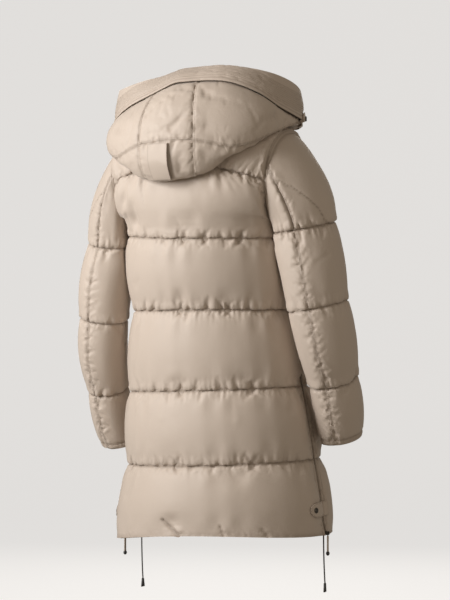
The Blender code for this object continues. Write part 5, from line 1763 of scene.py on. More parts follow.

# %% [markdown]
# Worn cloth keeps creases where it is pinched: at the lines of quilting, at the hem's drawcord and
# where the hood folds. The deep ones are placed one by one, as lines through rows and columns of
# the sheet, because their places make the coat's character. The small ones are left to random
# draws from a fixed start, so that they fall in the same places each time.

# %% Creases in the cloth
# shade is how dark each crease's valley is painted, as painted shade.
PINCH = dict(depth=0.0065, width=0.0046, shade=0.8)
WING = dict(depth=0.0026, width=0.0046, shade=0.15)
FOLD = dict(depth=0.0026, width=0.0070, shade=0.10)
TUCK = dict(depth=0.0120, width=0.0038, shade=1.0, taper=0.5)
TUCK_RIDGE = dict(depth=-0.0034, width=0.0060)
BACK_PINCHES = {232: (106, 125, 154), 176: (97, 140), 112: (97, 154), 56: (35, 91, 149)}
back = dressings["back"]
for row, columns in BACK_PINCHES.items():
    for column in columns:
        lean = rng.integers(-3, 4)
        back.crease([(row, column), (row + 7, column + lean)], **PINCH)
        back.crease([(row, column), (row - 5, column - lean)], **PINCH)
        for side in (-1, 1):
            back.crease([(row + 2, column), (row + 9, column + 6 * side)], **WING)
            back.crease([(row - 2, column), (row - 8, column + 5 * side)], **WING)
BACK_CREASES = (
    ((232, 41), (262, 38)), ((284, 44), (266, 50)), ((282, 66), (250, 72)),
    ((232, 108), (250, 100)), ((290, 150), (268, 160)),
)
for line in BACK_CREASES:
    back.crease(line, **FOLD)
HEM_TUCKS = (  # the first is a deep one, and the others are shallow
    (((1, 97), (5, 93), (13, 85)), 1.0),
    (((1, 128), (8, 126)), 0.40),
    (((1, 155), (6, 152)), 0.25),
)
for line, share in HEM_TUCKS:
    tuck = {**TUCK, "depth": share * TUCK["depth"], "shade": share * TUCK["shade"]}
    ridge = {**TUCK_RIDGE, "depth": share * TUCK_RIDGE["depth"]}
    back.crease(line, **tuck)
    back.crease([(row + 3, column + 1) for row, column in line], **ridge)
HOOD_FOLD = dict(depth=0.0044, width=0.0070, shade=0.10)
HOOD_FOLDS = {
    "hood_top_centre": (((8, 25), (22, 39)),),
    "hood_top_right": (((17, 9), (13, 49)), ((4, 2), (6, 30)), ((12, 67), (8, 50), (2, 39))),
    "hood_top_left": (((10, 150), (6, 170)),),
    "hood_base_right": (((50, 6), (44, 22)), ((52, 30), (40, 44))),
}
for name, folds in HOOD_FOLDS.items():
    for line in folds:
        dressings[name].crease(line, **HOOD_FOLD)
RUMPLES = {  # how many creases, how deep, how wide, how long, and how rumpled the cloth between is
    "hood_top": (26, 0.0020, 0.0045, 0.034, 0.14),
    "hood_base": (20, 0.0018, 0.0045, 0.028, 0.14),
    "sleeve": (14, 0.0016, 0.0055, 0.030, 0.07),
    "back": (16, 0.0018, 0.0090, 0.045, 0.03),
    "front": (8, 0.0016, 0.0080, 0.040, 0.03),
}
for name, dressing in dressings.items():
    for start, values in RUMPLES.items():
        if name.startswith(start):
            dressing.rumple(*values, rng)
print("creases placed by hand on the back:", len(BACK_CREASES) + len(HEM_TUCKS))

# %% [markdown]
# The hood's seams are sewn twice, with the second line of stitches beside the seam. The same groove
# and gathers make them as on the body, only shallower, because the hood is thinly filled.

# %% Hood lines
HOOD_TWIN = 0.0032
for name, dressing in dressings.items():
    end, last = (size - 1 for size in dressing.fine.shape[:2])
    if name.startswith(("hood_base", "hood_top")):
        for column, inward in ((0, 1), (last, -1)):
            if name.endswith("centre") or column == (last if name.endswith("left") else 0):
                faint = name.endswith("left") or (name.endswith("centre") and column == 0)
                seam_depth, shade = (0.0001, 0.12) if faint else (0.0003, 0.18)
                for offset, depth in ((0.0, seam_depth), (inward * HOOD_TWIN, 0.0004)):
                    dressing.groove(1, column, offset, depth=depth, width=0.0014, shade=shade)
                dressing.gather(1, column, 0.0, HOOD_GATHERS, rng, 0.7 if faint else 1.0)
                dressing.thread(1, column, inward * HOOD_TWIN, "hood")
    if name.startswith("hood_base"):
        dressing.groove(0, end, depth=0.0009, width=0.0022, shade=0.6)
        dressing.gather(0, end, 0.0, HOOD_GATHERS, rng, 1.2)
        dressing.thread(0, end, -HOOD_TWIN, "hood")
    if name.startswith("hood_top"):
        dressing.groove(0, 0, depth=0.0006, width=0.0022, shade=0.5)
        dressing.gather(0, 0, 0.0, HOOD_GATHERS, rng)
        dressing.thread(0, 0, HOOD_TWIN, "hood")
        # Painted shadow under the band's lower edge, over a real dip.
        dressing.groove(0, end, depth=0.0044, width=0.0060, shade=1.0)
    if name == "collar":
        dressing.sewn(0, end, -0.0060, "collar", rng, depth=0.0006, shade=0.3)
print("lines of thread:", sum(len(d.lines) for d in dressings.values()))

# %% [markdown]
# The band along the hood's rim is stiffened with many close rows of stitches, and the cloth puckers
# between them. Each row is a shallow groove with painted shade, and each pucker a low bump at a
# random place. The band's lower edge stands up and hangs over its seam, which throws a thin shadow,
# and a dark line of painted shadow runs along that seam on the band and on the hood below it.

# %% Band lines
BAND_PITCH = 0.0040
BAND_FIRST, BAND_LAST = 0.7, 0.4  # pitches that are left free at the seam and at the rim
PUCKER_PITCH, PUCKER_HEIGHT = 0.0055, 0.0010
band = dressings["hood_band"]
band.groove(0, 0, 0.0030, depth=-0.0056, width=0.0048, shade=0.0)
# Painted shadow: a dark line along the band's lower edge, with no dip.
band.groove(0, 0, 0.0, depth=0.0, width=0.0022, shade=1.0)
band.sag += 0.0050 * np.exp(-(((band.away(0, 0) - 0.0035) / 0.0040) ** 2))
width = band.lengths[0].mean(axis=1)[-1]
rows = np.arange(BAND_PITCH * BAND_FIRST, width - BAND_PITCH * BAND_LAST, BAND_PITCH)
for offset in rows:
    band.groove(0, 0, offset, depth=0.0007, width=0.0009, shade=0.35)
    band.thread(0, 0, offset, "band")
along = band.lengths[1][len(band.fine) // 2]
for offset in np.concatenate([[rows[0] - BAND_PITCH], rows]):
    puckers = np.zeros(len(along))
    for _ in range(int(along[-1] / PUCKER_PITCH)):
        height = rng.uniform(0.3, 1.0)
        away = along - rng.uniform(0, along[-1])
        puckers += height * np.exp(-((away / rng.uniform(0.0022, 0.0045)) ** 2))
    from_middle = np.abs(band.lengths[0] - offset - BAND_PITCH / 2)
    inside = np.clip(1 - from_middle / (BAND_PITCH / 2), 0.0, 1.0)
    band.dip += PUCKER_HEIGHT * inside * puckers[None, :]
print("rows of stitches on the band:", len(rows), "over", round(float(width) * 1000), "mm")

# %% [markdown]
# A padded wall has an outside, an inside and a thickness. Blender's Solidify would give every sheet
# an even one. Here the dressed sheet is the outside and the plain inner wall is the inside, and
# faces round the border join them, so that the wall is closed and as thick as its filling.

# %% Finished walls
EDGE_ANGLE = 70  # degrees; a sharper edge stays sharp in the shading
SOLID_SHEETS = ("hood_band", "collar")


def finished(name, mesh, material, smooth):
    """A new object from a mesh, shaded smooth up to an angle in degrees, with its finish."""
    mesh.shade_smooth()
    mesh.set_sharp_from_angle(angle=math.radians(smooth))
    mesh.materials.append(material)
    return linked(name, mesh)


def face_outwards(mesh, merged=0.0):
    """Turns every face outwards. Points closer than the merged distance become one."""
    loose = bmesh.new()
    loose.from_mesh(mesh)
    if merged:
        bmesh.ops.remove_doubles(loose, verts=loose.verts, dist=merged)
    bmesh.ops.recalc_face_normals(loose, faces=loose.faces)
    loose.to_mesh(mesh)
    loose.free()


def closed_wall(name, outer, inner, marks, material):
    """A closed piece of cloth from a fine outer grid and an inner one with half as many steps."""
    rows, columns = outer.shape[:2]
    low_rows, low_columns = inner.shape[:2]
    start = rows * columns
    faces = grid_faces(rows, columns).tolist()
    faces += grid_faces(low_rows, low_columns, start).tolist()
    border = [(0, j) for j in range(low_columns)]
    border += [(i, low_columns - 1) for i in range(1, low_rows)]
    border += [(low_rows - 1, j) for j in range(low_columns - 2, -1, -1)]
    border += [(i, 0) for i in range(low_rows - 2, 0, -1)]
    for (a, b), (c, d) in zip(border, border[1:] + border[:1]):
        far = [(2 * a, 2 * b), (a + c, b + d), (2 * c, 2 * d)]
        far = [i * columns + j for i, j in far]
        faces.append(far + [start + c * low_columns + d, start + a * low_columns + b])
    mesh = bpy.data.meshes.new(name)
    points = np.concatenate([outer.reshape(-1, 3), inner.reshape(-1, 3)])
    mesh.from_pydata(points.tolist(), [], faces)
    uv = mesh.uv_layers.new(name="cloth")
    flat = np.stack([lengths_along(outer, 1), lengths_along(outer, 0)], axis=-1)
    flat = np.concatenate([flat.reshape(-1, 2), flat[::2, ::2].reshape(-1, 2)])
    corners = np.empty(len(mesh.loops), dtype=np.int32)
    mesh.loops.foreach_get("vertex_index", corners)
    uv.data.foreach_set("uv", flat[corners].reshape(-1).astype(np.float32))
    for mark, levels in marks.items():
        levels = np.concatenate([levels.reshape(-1), levels[::2, ::2].reshape(-1)])
        kept = mesh.attributes.new(mark, "FLOAT", "POINT")
        kept.data.foreach_set("value", levels.astype(np.float32))
    face_outwards(mesh)
    return finished(name, mesh, material, EDGE_ANGLE)


def dress(piece, node_name, body="coat"):
    """Lets a finished piece stand for a solid and move with a body."""
    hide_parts(node_name)
    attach(piece, body)


for name, dressing in dressings.items():
    if name not in SOLID_SHEETS:
        for column in (0, dressing.fine.shape[1] - 1):
            dressing.settle(1, column)
    if name.startswith("hood_base"):
        dressing.settle(0, len(dressing.fine) - 1)
    if name.startswith("hood_top"):
        dressing.settle(0, 0)


def cut_size(grid):
    """The width, length and area of a piece laid flat."""
    across = np.linalg.norm(np.diff(grid, axis=1), axis=-1)
    down = np.linalg.norm(np.diff(grid, axis=0), axis=-1)
    area = (across[:-1] + across[1:]) / 2 * (down[:, :-1] + down[:, 1:]) / 2
    width, length = across.sum(axis=1).max(), down.sum(axis=0).max()
    return (round(float(width), 3), round(float(length), 3)), round(float(area.sum()), 4)


walls = {}
for name, dressing in dressings.items():
    dressing.finish()
    marks = {"crushed": dressing.shade, "rumpled": dressing.rumpled}
    walls[name] = closed_wall(name + "_cloth", dressing.done, sheets[name].inner, marks, shell)
    dress(walls[name], name)
for name, wall in walls.items():
    flat, area = cut_size(sheets[name].cut())
    area = min(area, flat[0] * flat[1])
    rests_on = ["back"] if name.startswith(("sleeve", "collar", "hood_base")) else []
    rests_on = ["collar"] if name.startswith(("hood_top", "hood_band")) else rests_on
    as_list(rests_on)
    print("cut of", name, "(m):", flat, "area", area)
print("triangles:", sum(len(p.data.loops) - 2 * len(p.data.polygons) for p in walls.values()))

# %% [markdown]
# ## Tabs and the strap
# The strap on the hood and the three tabs are flat strips of doubled cloth. Each is laid on the
# filled cloth: rays are cast at it from outside, and the strip rests just off the first thing met.
# A Shrinkwrap would lay it as closely, but it would follow every small crease, and a doubled strip
# is too stiff for that. So each point keeps as far out as the furthest of its neighbours.

# %% Laying a strip on the cloth
LAY_FROM = 0.30
LAID_GAP = 0.0009
STRIP_WALL = 0.0022
# Painted shade along the edges of each strip, where it meets the cloth.
STRIP_EDGE_SHADE = 0.35


def laid_on(under, places, aims):
    """Grid of points on a surface, met from outside along each aim, then kept a gap off it."""
    depths = np.zeros(places.shape[:2])
    for i, j in np.ndindex(depths.shape):
        start = places[i, j] - aims[i, j] * LAY_FROM
        reach = under.ray_cast(Vector(start), Vector(aims[i, j]))[3]
        depths[i, j] = 0.0 if reach is None else min(reach - LAY_FROM, 0.0)
    rows, columns = depths.shape
    padded = np.pad(depths, 1, mode="edge")
    near = [padded[a : a + rows, b : b + columns] for a in range(3) for b in range(3)]
    depths = np.min(near, axis=0) - LAID_GAP
    return places + aims * depths[..., None]


def facing(sheet, row, column, outward):
    """The direction that a sheet of points faces at one of them."""
    along = sheet[row + 1, column] - sheet[row - 1, column]
    across = sheet[row, column + 1] - sheet[row, column - 1]
    normal = unit(np.cross(along, across))
    return normal if normal.dot(outward) > 0 else -normal


def around_hood(turn, height):
    """(place on the hood's middle line, aim from outside towards it)."""
    angle = math.radians(turn)
    aim = np.array((math.sin(angle), -math.cos(angle), 0.0))
    return np.array((0.0, HOOD_MIDDLE_BACK, height)), aim


def ray_grid(rows):
    """(places, aims) from rows of (place, aim)."""
    return tuple(np.array([[ray[k] for ray in row] for row in rows]) for k in (0, 1))


def dressed_surface(names, step=2):
    return surface([dressings[name].done[::step, ::step] for name in names])


def laid_strip(node_name, rows, under, lift=0.0, drops=0.0):
    """(piece, outer grid, aims) of a strip laid on what is under it, then lifted or let down."""
    places, aims = ray_grid(rows)
    inner = laid_on(under, places, aims) - aims * np.asarray(lift)[..., None]
    inner[..., 2] += drops
    outer = inner - aims * STRIP_WALL
    shade = np.zeros(outer.shape[:2])
    # Painted shade on the strip's edges.
    shade[[0, -1]] = shade[:, [0, -1]] = STRIP_EDGE_SHADE
    piece = closed_wall(node_name + "_cloth", outer, inner[::2, ::2], {"crushed": shade}, shell)
    dress(piece, node_name)
    return piece, outer, aims


hood_names = [name for name in dressings if name.startswith("hood")]
hood_under = dressed_surface(hood_names)
print("the strips are laid on", len(hood_names), "hood pieces")

# %% [markdown]
# The strap is a short tape up the middle of the hood's back, sewn down at its two ends. Between
# them its right edge stands clear of the hood, so its points are lifted there after it is laid.

# %% The strap on the hood
STRAP_TURNS = (-10.5, 3.5)
STRAP_HEIGHTS = (-0.158, -0.086)
STRAP_POINTS = (25, 17)
STRAP_CLEAR, STRAP_SEWN, STRAP_FULLNESS = 0.0040, 0.06, 0.6
heights = np.linspace(*STRAP_HEIGHTS, STRAP_POINTS[0])
turns = np.linspace(*STRAP_TURNS, STRAP_POINTS[1])
along, across = (np.linspace(0, 1, count) for count in STRAP_POINTS)
arch = np.sin(np.pi * np.clip(along[:, None], STRAP_SEWN, 1 - STRAP_SEWN)) ** STRAP_FULLNESS
strap, strap_outer, _ = laid_strip(
    "hood_strap", [[around_hood(t, h) for t in turns] for h in heights], hood_under,
    lift=STRAP_CLEAR * across[None, :] ** 3 * arch,
)
strap_length = np.linalg.norm(strap_outer[0, 0] - strap_outer[-1, 0])
print("strap:", round(float(strap_length) * 1000), "mm long")

# %% [markdown]
# A tab is sewn at one end and rounded at the other, where its press stud sits. One function cuts
# all three: it gives half the tab's width at each step along it. The throat tab bends down over
# the hood's edge, so the part of it that would reach past the edge is let down after it is laid.

# %% Tabs
TAB_HALF = 0.0150
TAB_STRAIGHT, TAB_ROUND = 0.72, 0.29  # shares of a tab's length
THROAT_TURNS = (138, 95)
THROAT_HEIGHT = -0.028
THROAT_LEAST = -0.040
SIDE_TAB_TURNS = (94.5, 72.5)
SIDE_TAB_DROP = 0.822
TAB_ACROSS = np.linspace(-1, 1, 13)
TAB_ALONG = np.linspace(0, 1, 33)
TAB_MIDDLE = len(TAB_ACROSS) // 2
THROAT_STUD, SIDE_STUD = 28, 26  # steps along a tab to its press stud
studs, tab_outers = {}, {}


def tab_halves():
    """Half heights along a tab, from its sewn end to its rounded one."""
    rounds = [max(0.0, (t - TAB_STRAIGHT) / TAB_ROUND) for t in TAB_ALONG]
    return [TAB_HALF * math.sqrt(max(0.0, 1 - r**2)) for r in rounds]


def tab(node_name, stud_name, step, rests_on, *strip):
    """Lays a tab, and keeps its outer grid and the place and aim of its press stud."""
    piece, outer, aims = laid_strip(node_name, *strip)
    middle = outer[TAB_MIDDLE, step]
    studs[stud_name] = middle, facing(outer, TAB_MIDDLE, step, -aims[TAB_MIDDLE, step])
    tab_outers[node_name] = outer


def turns_along(first, last):
    return first + (last - first) * TAB_ALONG


rows, drops = [], []
for across in TAB_ACROSS:
    heights = [THROAT_HEIGHT + across * half for half in tab_halves()]
    held = [max(height, THROAT_LEAST) for height in heights]
    rows.append([around_hood(t, h) for t, h in zip(turns_along(*THROAT_TURNS), held)])
    drops.append([height - least for height, least in zip(heights, held)])
tab("throat_tab", "throat_snap", THROAT_STUD, "hood_base_right", rows, hood_under, 0.0, drops)
for side, word in ((1, "left"), (-1, "right")):
    rows = []
    for across in TAB_ACROSS:
        row = []
        for turn, half in zip(turns_along(*SIDE_TAB_TURNS), tab_halves()):
            place = body_point(SIDE_TAB_DROP - across * half, -side * turn)
            angle = math.radians(turn)
            row.append((place, np.array((-side * math.sin(angle), -math.cos(angle), 0.0))))
        rows.append(row)
    under = dressed_surface(["back", "front_" + word])
    tab("side_tab_" + word, "side_snap_" + word, SIDE_STUD, "front_" + word, rows, under)
print("press studs:", list(studs))

# %% [markdown]
# ## Press studs, pulls and cords
# A press stud is turned metal: a profile spun round an axis, with a rim, a groove and a low dome.
# The Screw modifier could spin it. A short function does the same with plain points, and can set
# each stud on its tab, turned to the way that the cloth faces there.

# %% Press studs
MERGED = 1e-7
STUD_PROFILE = (
    (0.0055, 0.0003), (0.0056, 0.0009), (0.0053, 0.0016), (0.0047, 0.0021), (0.0041, 0.0019),
    (0.0038, 0.0013), (0.0034, 0.0013), (0.0030, 0.0018), (0.0019, 0.0023), (0.0, 0.0025),
)


def mesh_piece(name, points, faces, material, smooth=50):
    """A new object from points and faces, with its faces turned outwards."""
    mesh = bpy.data.meshes.new(name)
    mesh.from_pydata([tuple(float(c) for c in p) for p in points], [], faces)
    face_outwards(mesh, MERGED)
    return finished(name, mesh, material, smooth)


def ring_faces(rings, sides):
    """The faces of a tube made of rings that have so many points each."""
    pairs = [(k, (k + 1) % sides) for k in range(sides)]
    lows = [(r * sides + k, r * sides + n) for r in range(rings - 1) for k, n in pairs]
    return [(a, b, b + sides, a + sides) for a, b in lows]


def lathe(name, profile, centre, aim, material, segments=32):
    """A profile of (radius, height) spun round the aim, closed at both ends."""
    turned = np.array(Vector(aim).to_track_quat("Z", "Y").to_matrix())
    points = []
    for radius, height in profile:
        for k in range(segments):
            angle = 2 * math.pi * k / segments
            local = (radius * math.cos(angle), radius * math.sin(angle), height)
            points.append(centre + turned @ np.array(local))
    faces = [*ring_faces(len(profile), segments), tuple(range(segments))]
    return mesh_piece(name, points, faces, material)


for name, (centre, aim) in studs.items():
    stud = lathe(name + "_stud", STUD_PROFILE, np.asarray(centre), aim, metal_finish)
    dress(stud, name)
print("each stud is", 2 * STUD_PROFILE[1][0] * 1000, "mm across")

# %% [markdown]
# A zip pull is a metal loop that swings on the slider, a strip of the coat's cloth through it, and
# a rubber grip at the end. Each is drawn as rounded sections at their drops below the hinge, and
# rides on the body that the hinge turns, so all three swing together.

# %% Pulls
# Each section is (drop, half width, half depth). Squareness is a power: 1 makes an oval section.
PULL_SQUARENESS = {"loop": 0.45, "strip": 0.45, "knob": 0.95}
PULL_SECTIONS = {
    "loop": ((-0.0016, 0.0010, 0.0006), (-0.0011, 0.0015, 0.0012), (0.0, 0.0016, 0.0015),
             (0.0014, 0.0016, 0.0012), (0.0024, 0.0015, 0.0008), (0.0056, 0.0015, 0.0008)),
    "strip": ((0.0050, 0.0026, 0.0006), (0.0056, 0.0034, 0.0009), (0.0070, 0.0036, 0.0009),
              (0.0200, 0.0035, 0.0008), (0.0345, 0.0036, 0.0009), (0.0362, 0.0034, 0.0012),
              (0.0368, 0.0026, 0.0012)),
    "knob": ((0.0362, 0.0018, 0.0016), (0.0370, 0.0028, 0.0026), (0.0385, 0.0036, 0.0034),
             (0.0402, 0.0039, 0.0037), (0.0420, 0.0036, 0.0034), (0.0438, 0.0026, 0.0025),
             (0.0446, 0.0014, 0.0014), (0.0449, 0.0004, 0.0004)),
}


def hanging_piece(name, top, across, aim, sections, material, sides=20, squareness=0.5):
    """A piece that hangs from a point, made of rounded sections (drop, half width, half depth)."""
    points = []
    for drop, half_width, half_depth in sections:
        for k in range(sides):
            angle = 2 * math.pi * k / sides
            c, s = math.cos(angle), math.sin(angle)
            a = math.copysign(abs(c) ** squareness, c) * half_width
            b = math.copysign(abs(s) ** squareness, s) * half_depth
            points.append(top + across * a + aim * b - UP * drop)
    ends = (0, (len(sections) - 1) * sides)
    faces = ring_faces(len(sections), sides)
    faces += [tuple(range(first, first + sides)) for first in ends]
    return mesh_piece(name, points, faces, material, 40)


PULL_FINISHES = {"loop": metal_finish, "strip": shell, "knob": rubber_finish}
hinges = {joint["name"]: joint for joint in frame["record"]["behaviour"]["joints"]}
for word, stem in (
    ("front", "front_pull"), ("side_left", "side_pull_left"), ("side_right", "side_pull_right")
):
    hinge = hinges[stem + "_hinge"]
    top = np.array(hinge["pos_m"], dtype=float)
    across = np.array(hinge["axis"], dtype=float)
    across /= np.linalg.norm(across)
    aim = np.cross(across, UP)
    for part, sections in PULL_SECTIONS.items():
        name, finish = word + "_pull_" + part, PULL_FINISHES[part]
        square = PULL_SQUARENESS[part]
        piece = hanging_piece(name, top, across, aim, sections, finish, squareness=square)
        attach(piece, stem + "_body")
        if part == "strip":
            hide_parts(word + "_pull")
print("pull parts:", list(PULL_SECTIONS))

# %% [markdown]
# The drawcord leaves the hem as two free ends. Each hangs down under its own weight with a slight
# bow, and ends in a flared rubber tab. A bevelled curve would make the same tube. This one is built
# from rings, so that its surface can carry an unrolled map in metres for the braid.

# %% Drawcord ends
CORD_RADIUS = 0.0014
CORD_SWAY = -0.003
CORD_LENGTHS = {"left": 0.096, "right": 0.094}
CORD_SIDES = 12
CORD_PLACES = np.linspace(0, 1, 25)
CORD_END_SECTIONS = (
    (0.0000, 0.0018, 0.0016), (0.0005, 0.0024, 0.0020), (0.0040, 0.0027, 0.0022),
    (0.0058, 0.0030, 0.0021), (0.0110, 0.0042, 0.0019), (0.0158, 0.0053, 0.0017),
    (0.0172, 0.0055, 0.0015), (0.0180, 0.0050, 0.0009),
)


def tube(name, path, radius, material):
    """A round tube along a nearly upright path, with its unrolled map in metres."""
    path = np.asarray(path)
    down = np.concatenate([[0], np.cumsum(np.linalg.norm(np.diff(path, axis=0), axis=1))])
    angles = [2 * math.pi * k / CORD_SIDES for k in range(CORD_SIDES)]
    ring = [radius * np.array((math.cos(a), math.sin(a), 0.0)) for a in angles]
    points = [tuple(place + away) for place in path for away in ring]
    faces = [(a, d, c, b) for a, b, c, d in ring_faces(len(path), CORD_SIDES)]
    girth = 2 * math.pi * radius / CORD_SIDES
    flat = []
    for low, high in zip(down, down[1:]):
        for left, right in ((k * girth, (k + 1) * girth) for k in range(CORD_SIDES)):
            flat += [(left, low), (left, high), (right, high), (right, low)]
    last = (len(path) - 1) * CORD_SIDES
    faces += [tuple(range(CORD_SIDES)), tuple(reversed(range(last, last + CORD_SIDES)))]
    flat += [(0.0, 0.0)] * (2 * CORD_SIDES)
    mesh = bpy.data.meshes.new(name)
    mesh.from_pydata(points, [], faces)
    uv = mesh.uv_layers.new(name="unrolled")
    uv.data.foreach_set("uv", np.array(flat, dtype=np.float32).reshape(-1))
    return finished(name, mesh, material, 60)


for word, length in CORD_LENGTHS.items():
    low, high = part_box("hem_drawcord_" + word)
    top = np.array((high[0] - CORD_RADIUS, (low[1] + high[1]) / 2, high[2]))
    path = [top - UP * length * t + np.array((CORD_SWAY * t * t, 0, 0)) for t in CORD_PLACES]
    free_end = tube("drawcord_" + word, path, CORD_RADIUS, cord_finish)
    dress(free_end, "hem_drawcord_" + word)
    low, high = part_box("cord_end_" + word)
    foot = np.array(((low[0] + high[0]) / 2, (low[1] + high[1]) / 2, high[2]))
    aim = unit(np.array((foot[0], foot[1] * 0.5, 0.0)))
    across = np.cross(UP, aim)
    end_tab = hanging_piece(
        "drawcord_tab_" + word, foot, across, aim, CORD_END_SECTIONS, rubber_finish, 24, 0.5
    )
    dress(end_tab, "cord_end_" + word)
print("drawcord ends:", CORD_LENGTHS)

# %% [markdown]
# ## Stitches and zip teeth
# Both repeat along a line, so one small Geometry Nodes tree serves both: it walks along the line at
# a fixed pitch, and sets a small rounded bead at each step, turned to the line. The beads are made
# real, because an export may not keep instances. Painted stitches would be lighter, but they'd
# cast no shadow, and real ones stand a little out of their groove.

# %% Beads along a line
BEAD_SEGMENTS, BEAD_RINGS = 6, 4
BEAD_POINTS = BEAD_SEGMENTS * (BEAD_RINGS - 1) + 2
STITCH_LIFT = 0.00015
TAB_STITCH_INSET = 0.004


def bead_tree(name, material, sizes):
    """A tree that sets beads (pitch, length, width, height) along the edges of a mesh."""
    tree = bpy.data.node_groups.new(name, "GeometryNodeTree")
    tree.interface.new_socket("Line", in_out="INPUT", socket_type="NodeSocketGeometry")
    for label, value in sizes.items():
        socket = tree.interface.new_socket(label, in_out="INPUT", socket_type="NodeSocketFloat")
        socket.default_value = value
    tree.interface.new_socket("Beads", in_out="OUTPUT", socket_type="NodeSocketGeometry")
    start, end = node(tree, "NodeGroupInput"), node(tree, "NodeGroupOutput")
    curve = node(tree, "GeometryNodeMeshToCurve")
    spaced = node(tree, "GeometryNodeResampleCurve", mode="LENGTH")
    bead = node(tree, "GeometryNodeMeshUVSphere")
    for label, value in (("Segments", BEAD_SEGMENTS), ("Rings", BEAD_RINGS), ("Radius", 0.5)):
        bead.inputs[label].default_value = value
    size = node(tree, "ShaderNodeCombineXYZ")
    shaped = node(tree, "GeometryNodeTransform")
    placed = node(tree, "GeometryNodeInstanceOnPoints")
    tangent = node(tree, "GeometryNodeInputTangent")
    turned = node(tree, "FunctionNodeAlignRotationToVector", axis="X")
    real = node(tree, "GeometryNodeRealizeInstances")
    coloured = node(tree, "GeometryNodeSetMaterial")
    coloured.inputs["Material"].default_value = material
    for source, output, target, socket in (
        (start, "Line", curve, "Mesh"), (curve, "Curve", spaced, "Curve"),
        (start, "Pitch", spaced, "Length"), (start, "Length", size, "X"),
        (start, "Width", size, "Y"), (start, "Height", size, "Z"),
        (bead, "Mesh", shaped, "Geometry"), (size, "Vector", shaped, "Scale"),
        (spaced, "Curve", placed, "Points"), (shaped, "Geometry", placed, "Instance"),
        (tangent, "Tangent", turned, "Vector"), (turned, "Rotation", placed, "Rotation"),
        (placed, "Instances", real, "Geometry"), (real, "Geometry", coloured, "Geometry"),
        (coloured, "Geometry", end, "Beads"),
    ):
        tree.links.new(source.outputs[output], target.inputs[socket])
    return tree


def beads_along(name, lines, tree, values=None):
    """One mesh of beads along every one of the lines."""
    points, edges = [], []
    for line in lines:
        first = len(points)
        points += [tuple(float(c) for c in p) for p in line]
        edges += [(k, k + 1) for k in range(first, len(points) - 1)]
    mesh = bpy.data.meshes.new(name + "_line")
    mesh.from_pydata(points, edges, [])
    guide = linked(name + "_line", mesh)
    beads = guide.modifiers.new("beads", "NODES")
    beads.node_group = tree
    for item in tree.interface.items_tree:
        if item.in_out == "INPUT" and values and item.name in values:
            beads[item.identifier] = values[item.name]
    graph = bpy.context.evaluated_depsgraph_get()
    made = bpy.data.meshes.new_from_object(guide.evaluated_get(graph))
    made.name = name
    made.shade_smooth()
    bpy.data.objects.remove(guide)
    return linked(name, made)


STITCH = {"Pitch": 0.0042, "Length": 0.0030, "Width": 0.0007, "Height": 0.0006}
stitch_tree = bead_tree("stitches", thread_finish, STITCH)
groups = {"hood": [], "band": [], "body": [], "sleeves": []}
for name, dressing in dressings.items():
    for kind, path in dressing.lines:
        points, outward = dressing.place(path[:, 0], path[:, 1])
        line = points + outward * STITCH_LIFT
        key = "band" if kind == "band" else name.split("_")[0]
        key = {"hood": "hood", "band": "band", "sleeve": "sleeves"}.get(key, "body")
        groups[key].append(line)
for outer in tab_outers.values():
    rim = np.concatenate([outer[1, :-2], outer[2:-2, -2], outer[-2, -3::-1]])
    centre = outer[TAB_MIDDLE, len(TAB_ALONG) // 2]
    groups["body"].append(rim - (centre - rim) * TAB_STITCH_INSET)
for key, lines in groups.items():
    stitches = beads_along("stitches_" + key, lines, stitch_tree)
    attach(stitches, "coat")
    print("stitches on the", key + ":", len(stitches.data.vertices) // BEAD_POINTS)

# %% [markdown]
# The teeth of a closed zip are one row of small bars across the line where its two tapes meet. The
# same tree makes them, with wider beads at a closer pitch.

# %% Zip teeth
TEETH = {"Pitch": 0.0030, "Length": 0.0016, "Width": 0.0046, "Height": 0.0017}
ZIP_FACE = ZIP_WALL + 0.0004
teeth_tree = bead_tree("teeth", teeth_finish, TEETH)
count = sum(drop >= opened - 1e-6 for drop, _ in lower_rows())
for side, word, edge in ((1, "left", 0), (-1, "right", -1)):
    inner_back, inner_front = panels["back"][0], panels["front_" + word][0]
    rail = (inner_back[:count, edge] + inner_front[:count, 0]) / 2
    rail = rail + np.array((side * ZIP_FACE, 0.0, 0.0))
    teeth = beads_along("teeth_side_" + word, [rail], teeth_tree, {"Height": 0.0012})
    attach(teeth, "coat")
left = np.concatenate([panels["front_left"][0][:, -1], collar_inner[1:, 0]])
right = np.concatenate([panels["front_right"][0][:, -1], collar_inner[1:, -1]])
rail = (left + right) / 2 + np.array((0.0, -ZIP_FACE, 0.0))
teeth = beads_along("teeth_front", [rail], teeth_tree)
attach(teeth, "coat")
print("teeth down the front:", len(teeth.data.vertices) // BEAD_POINTS)

# %% [markdown]
# ## Studio
# Padding shows by its shading, so one broad light stands far to the left and level with the coat:
# it lets each channel turn from light to dark. A weak warm one fills the shadows, and a third
# stands behind and lights the far sides. A picture of the sky would light the coat as well, but the
# way of the shadows couldn't be set by it.

# %% Lights
def area_light(name, place, target, size, watts, colour):
    light = bpy.data.lights.new(name, "AREA")
    light.shape = "RECTANGLE"
    light.size, light.size_y = size
    light.energy = watts
    light.color = colour
    made = linked(name, light)
    made.visible_camera = False
    made.location = place
    made.rotation_euler = (target - place).to_track_quat("-Z", "Y").to_euler()


def from_camera(right, near, up):
    """A place measured to the right of the coat, towards the camera, and up."""
    return rightward * right - forward * near + Vector((0, 0, up))


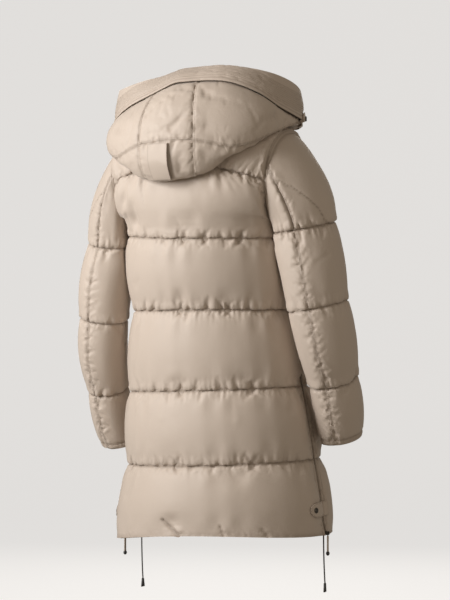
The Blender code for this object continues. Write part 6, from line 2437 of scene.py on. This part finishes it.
COAT_MIDDLE = Vector((0.0, 0.0, -0.45))
COAT_TOP = Vector((0.0, 0.0, -0.20))
area_light("key", from_camera(-2.0, 0.90, 0.34), COAT_TOP, (1.0, 1.3), 68, (1.0, 1.0, 1.0))
area_light("fill", from_camera(1.4, 3.0, 0.6), COAT_MIDDLE, (2.5, 2.5), 14, (1.0, 0.88, 0.73))
area_light("far_side", from_camera(0.2, -3.2, 0.7), COAT_MIDDLE, (2.5, 2.5), 36, (1.0, 0.95, 0.88))
world = bpy.data.worlds.new("studio")
world.use_nodes = True
background = world.node_tree.nodes["Background"]
background.inputs["Color"].default_value = (1.0, 0.90, 0.76, 1.0)
background.inputs["Strength"].default_value = 0.26
bpy.context.scene.world = world
bpy.context.scene.view_settings.view_transform = "Standard"
print("lights:", [light.name for light in bpy.data.lights])

# %% [markdown]
# The floor is one sheet of pale paper that sweeps up into a wall all round. It glows a little, so
# that it stays pale from every side, and it is left out of the light that reaches the coat. A flat
# floor would be simpler, but its far edge would draw a line across the picture.

# %% Paper floor
FLOOR_HEIGHT = -1.45
PAPER_PROFILE = [(5.0, 0.0), (5.8, 0.04), (6.6, 0.22), (7.3, 0.7), (7.7, 1.5), (7.8, 8.0)]
PAPER_TURNS = np.linspace(0, 2 * math.pi, 96, endpoint=False)


def paper_floor():
    made = bmesh.new()
    hub = made.verts.new((0.0, 0.0, FLOOR_HEIGHT))
    rings = []
    for radius, height in PAPER_PROFILE:
        places = [(radius * math.cos(a), radius * math.sin(a)) for a in PAPER_TURNS]
        rings.append([made.verts.new((x, y, FLOOR_HEIGHT + height)) for x, y in places])
    for k in range(len(PAPER_TURNS)):
        after = (k + 1) % len(PAPER_TURNS)
        made.faces.new((hub, rings[0][k], rings[0][after]))
        for low, high in zip(rings, rings[1:]):
            made.faces.new((low[k], high[k], high[after], low[after]))
    mesh = bpy.data.meshes.new("floor")
    made.to_mesh(mesh)
    made.free()
    mesh.shade_smooth()
    return mesh


paper, _, paper_shader = plain_finish("pale_paper", (0.34, 0.335, 0.33), 0.95)
paper_shader.inputs["Specular IOR Level"].default_value = 0.0
paper_shader.inputs["Emission Color"].default_value = (1.0, 0.988, 0.978, 1.0)
paper_shader.inputs["Emission Strength"].default_value = 0.65
floor_mesh = paper_floor()
floor_mesh.materials.append(paper)
floor = linked("floor", floor_mesh)
floor.visible_diffuse = floor.visible_glossy = floor.visible_shadow = False
print("the floor lies", -FLOOR_HEIGHT, "m below the neck")
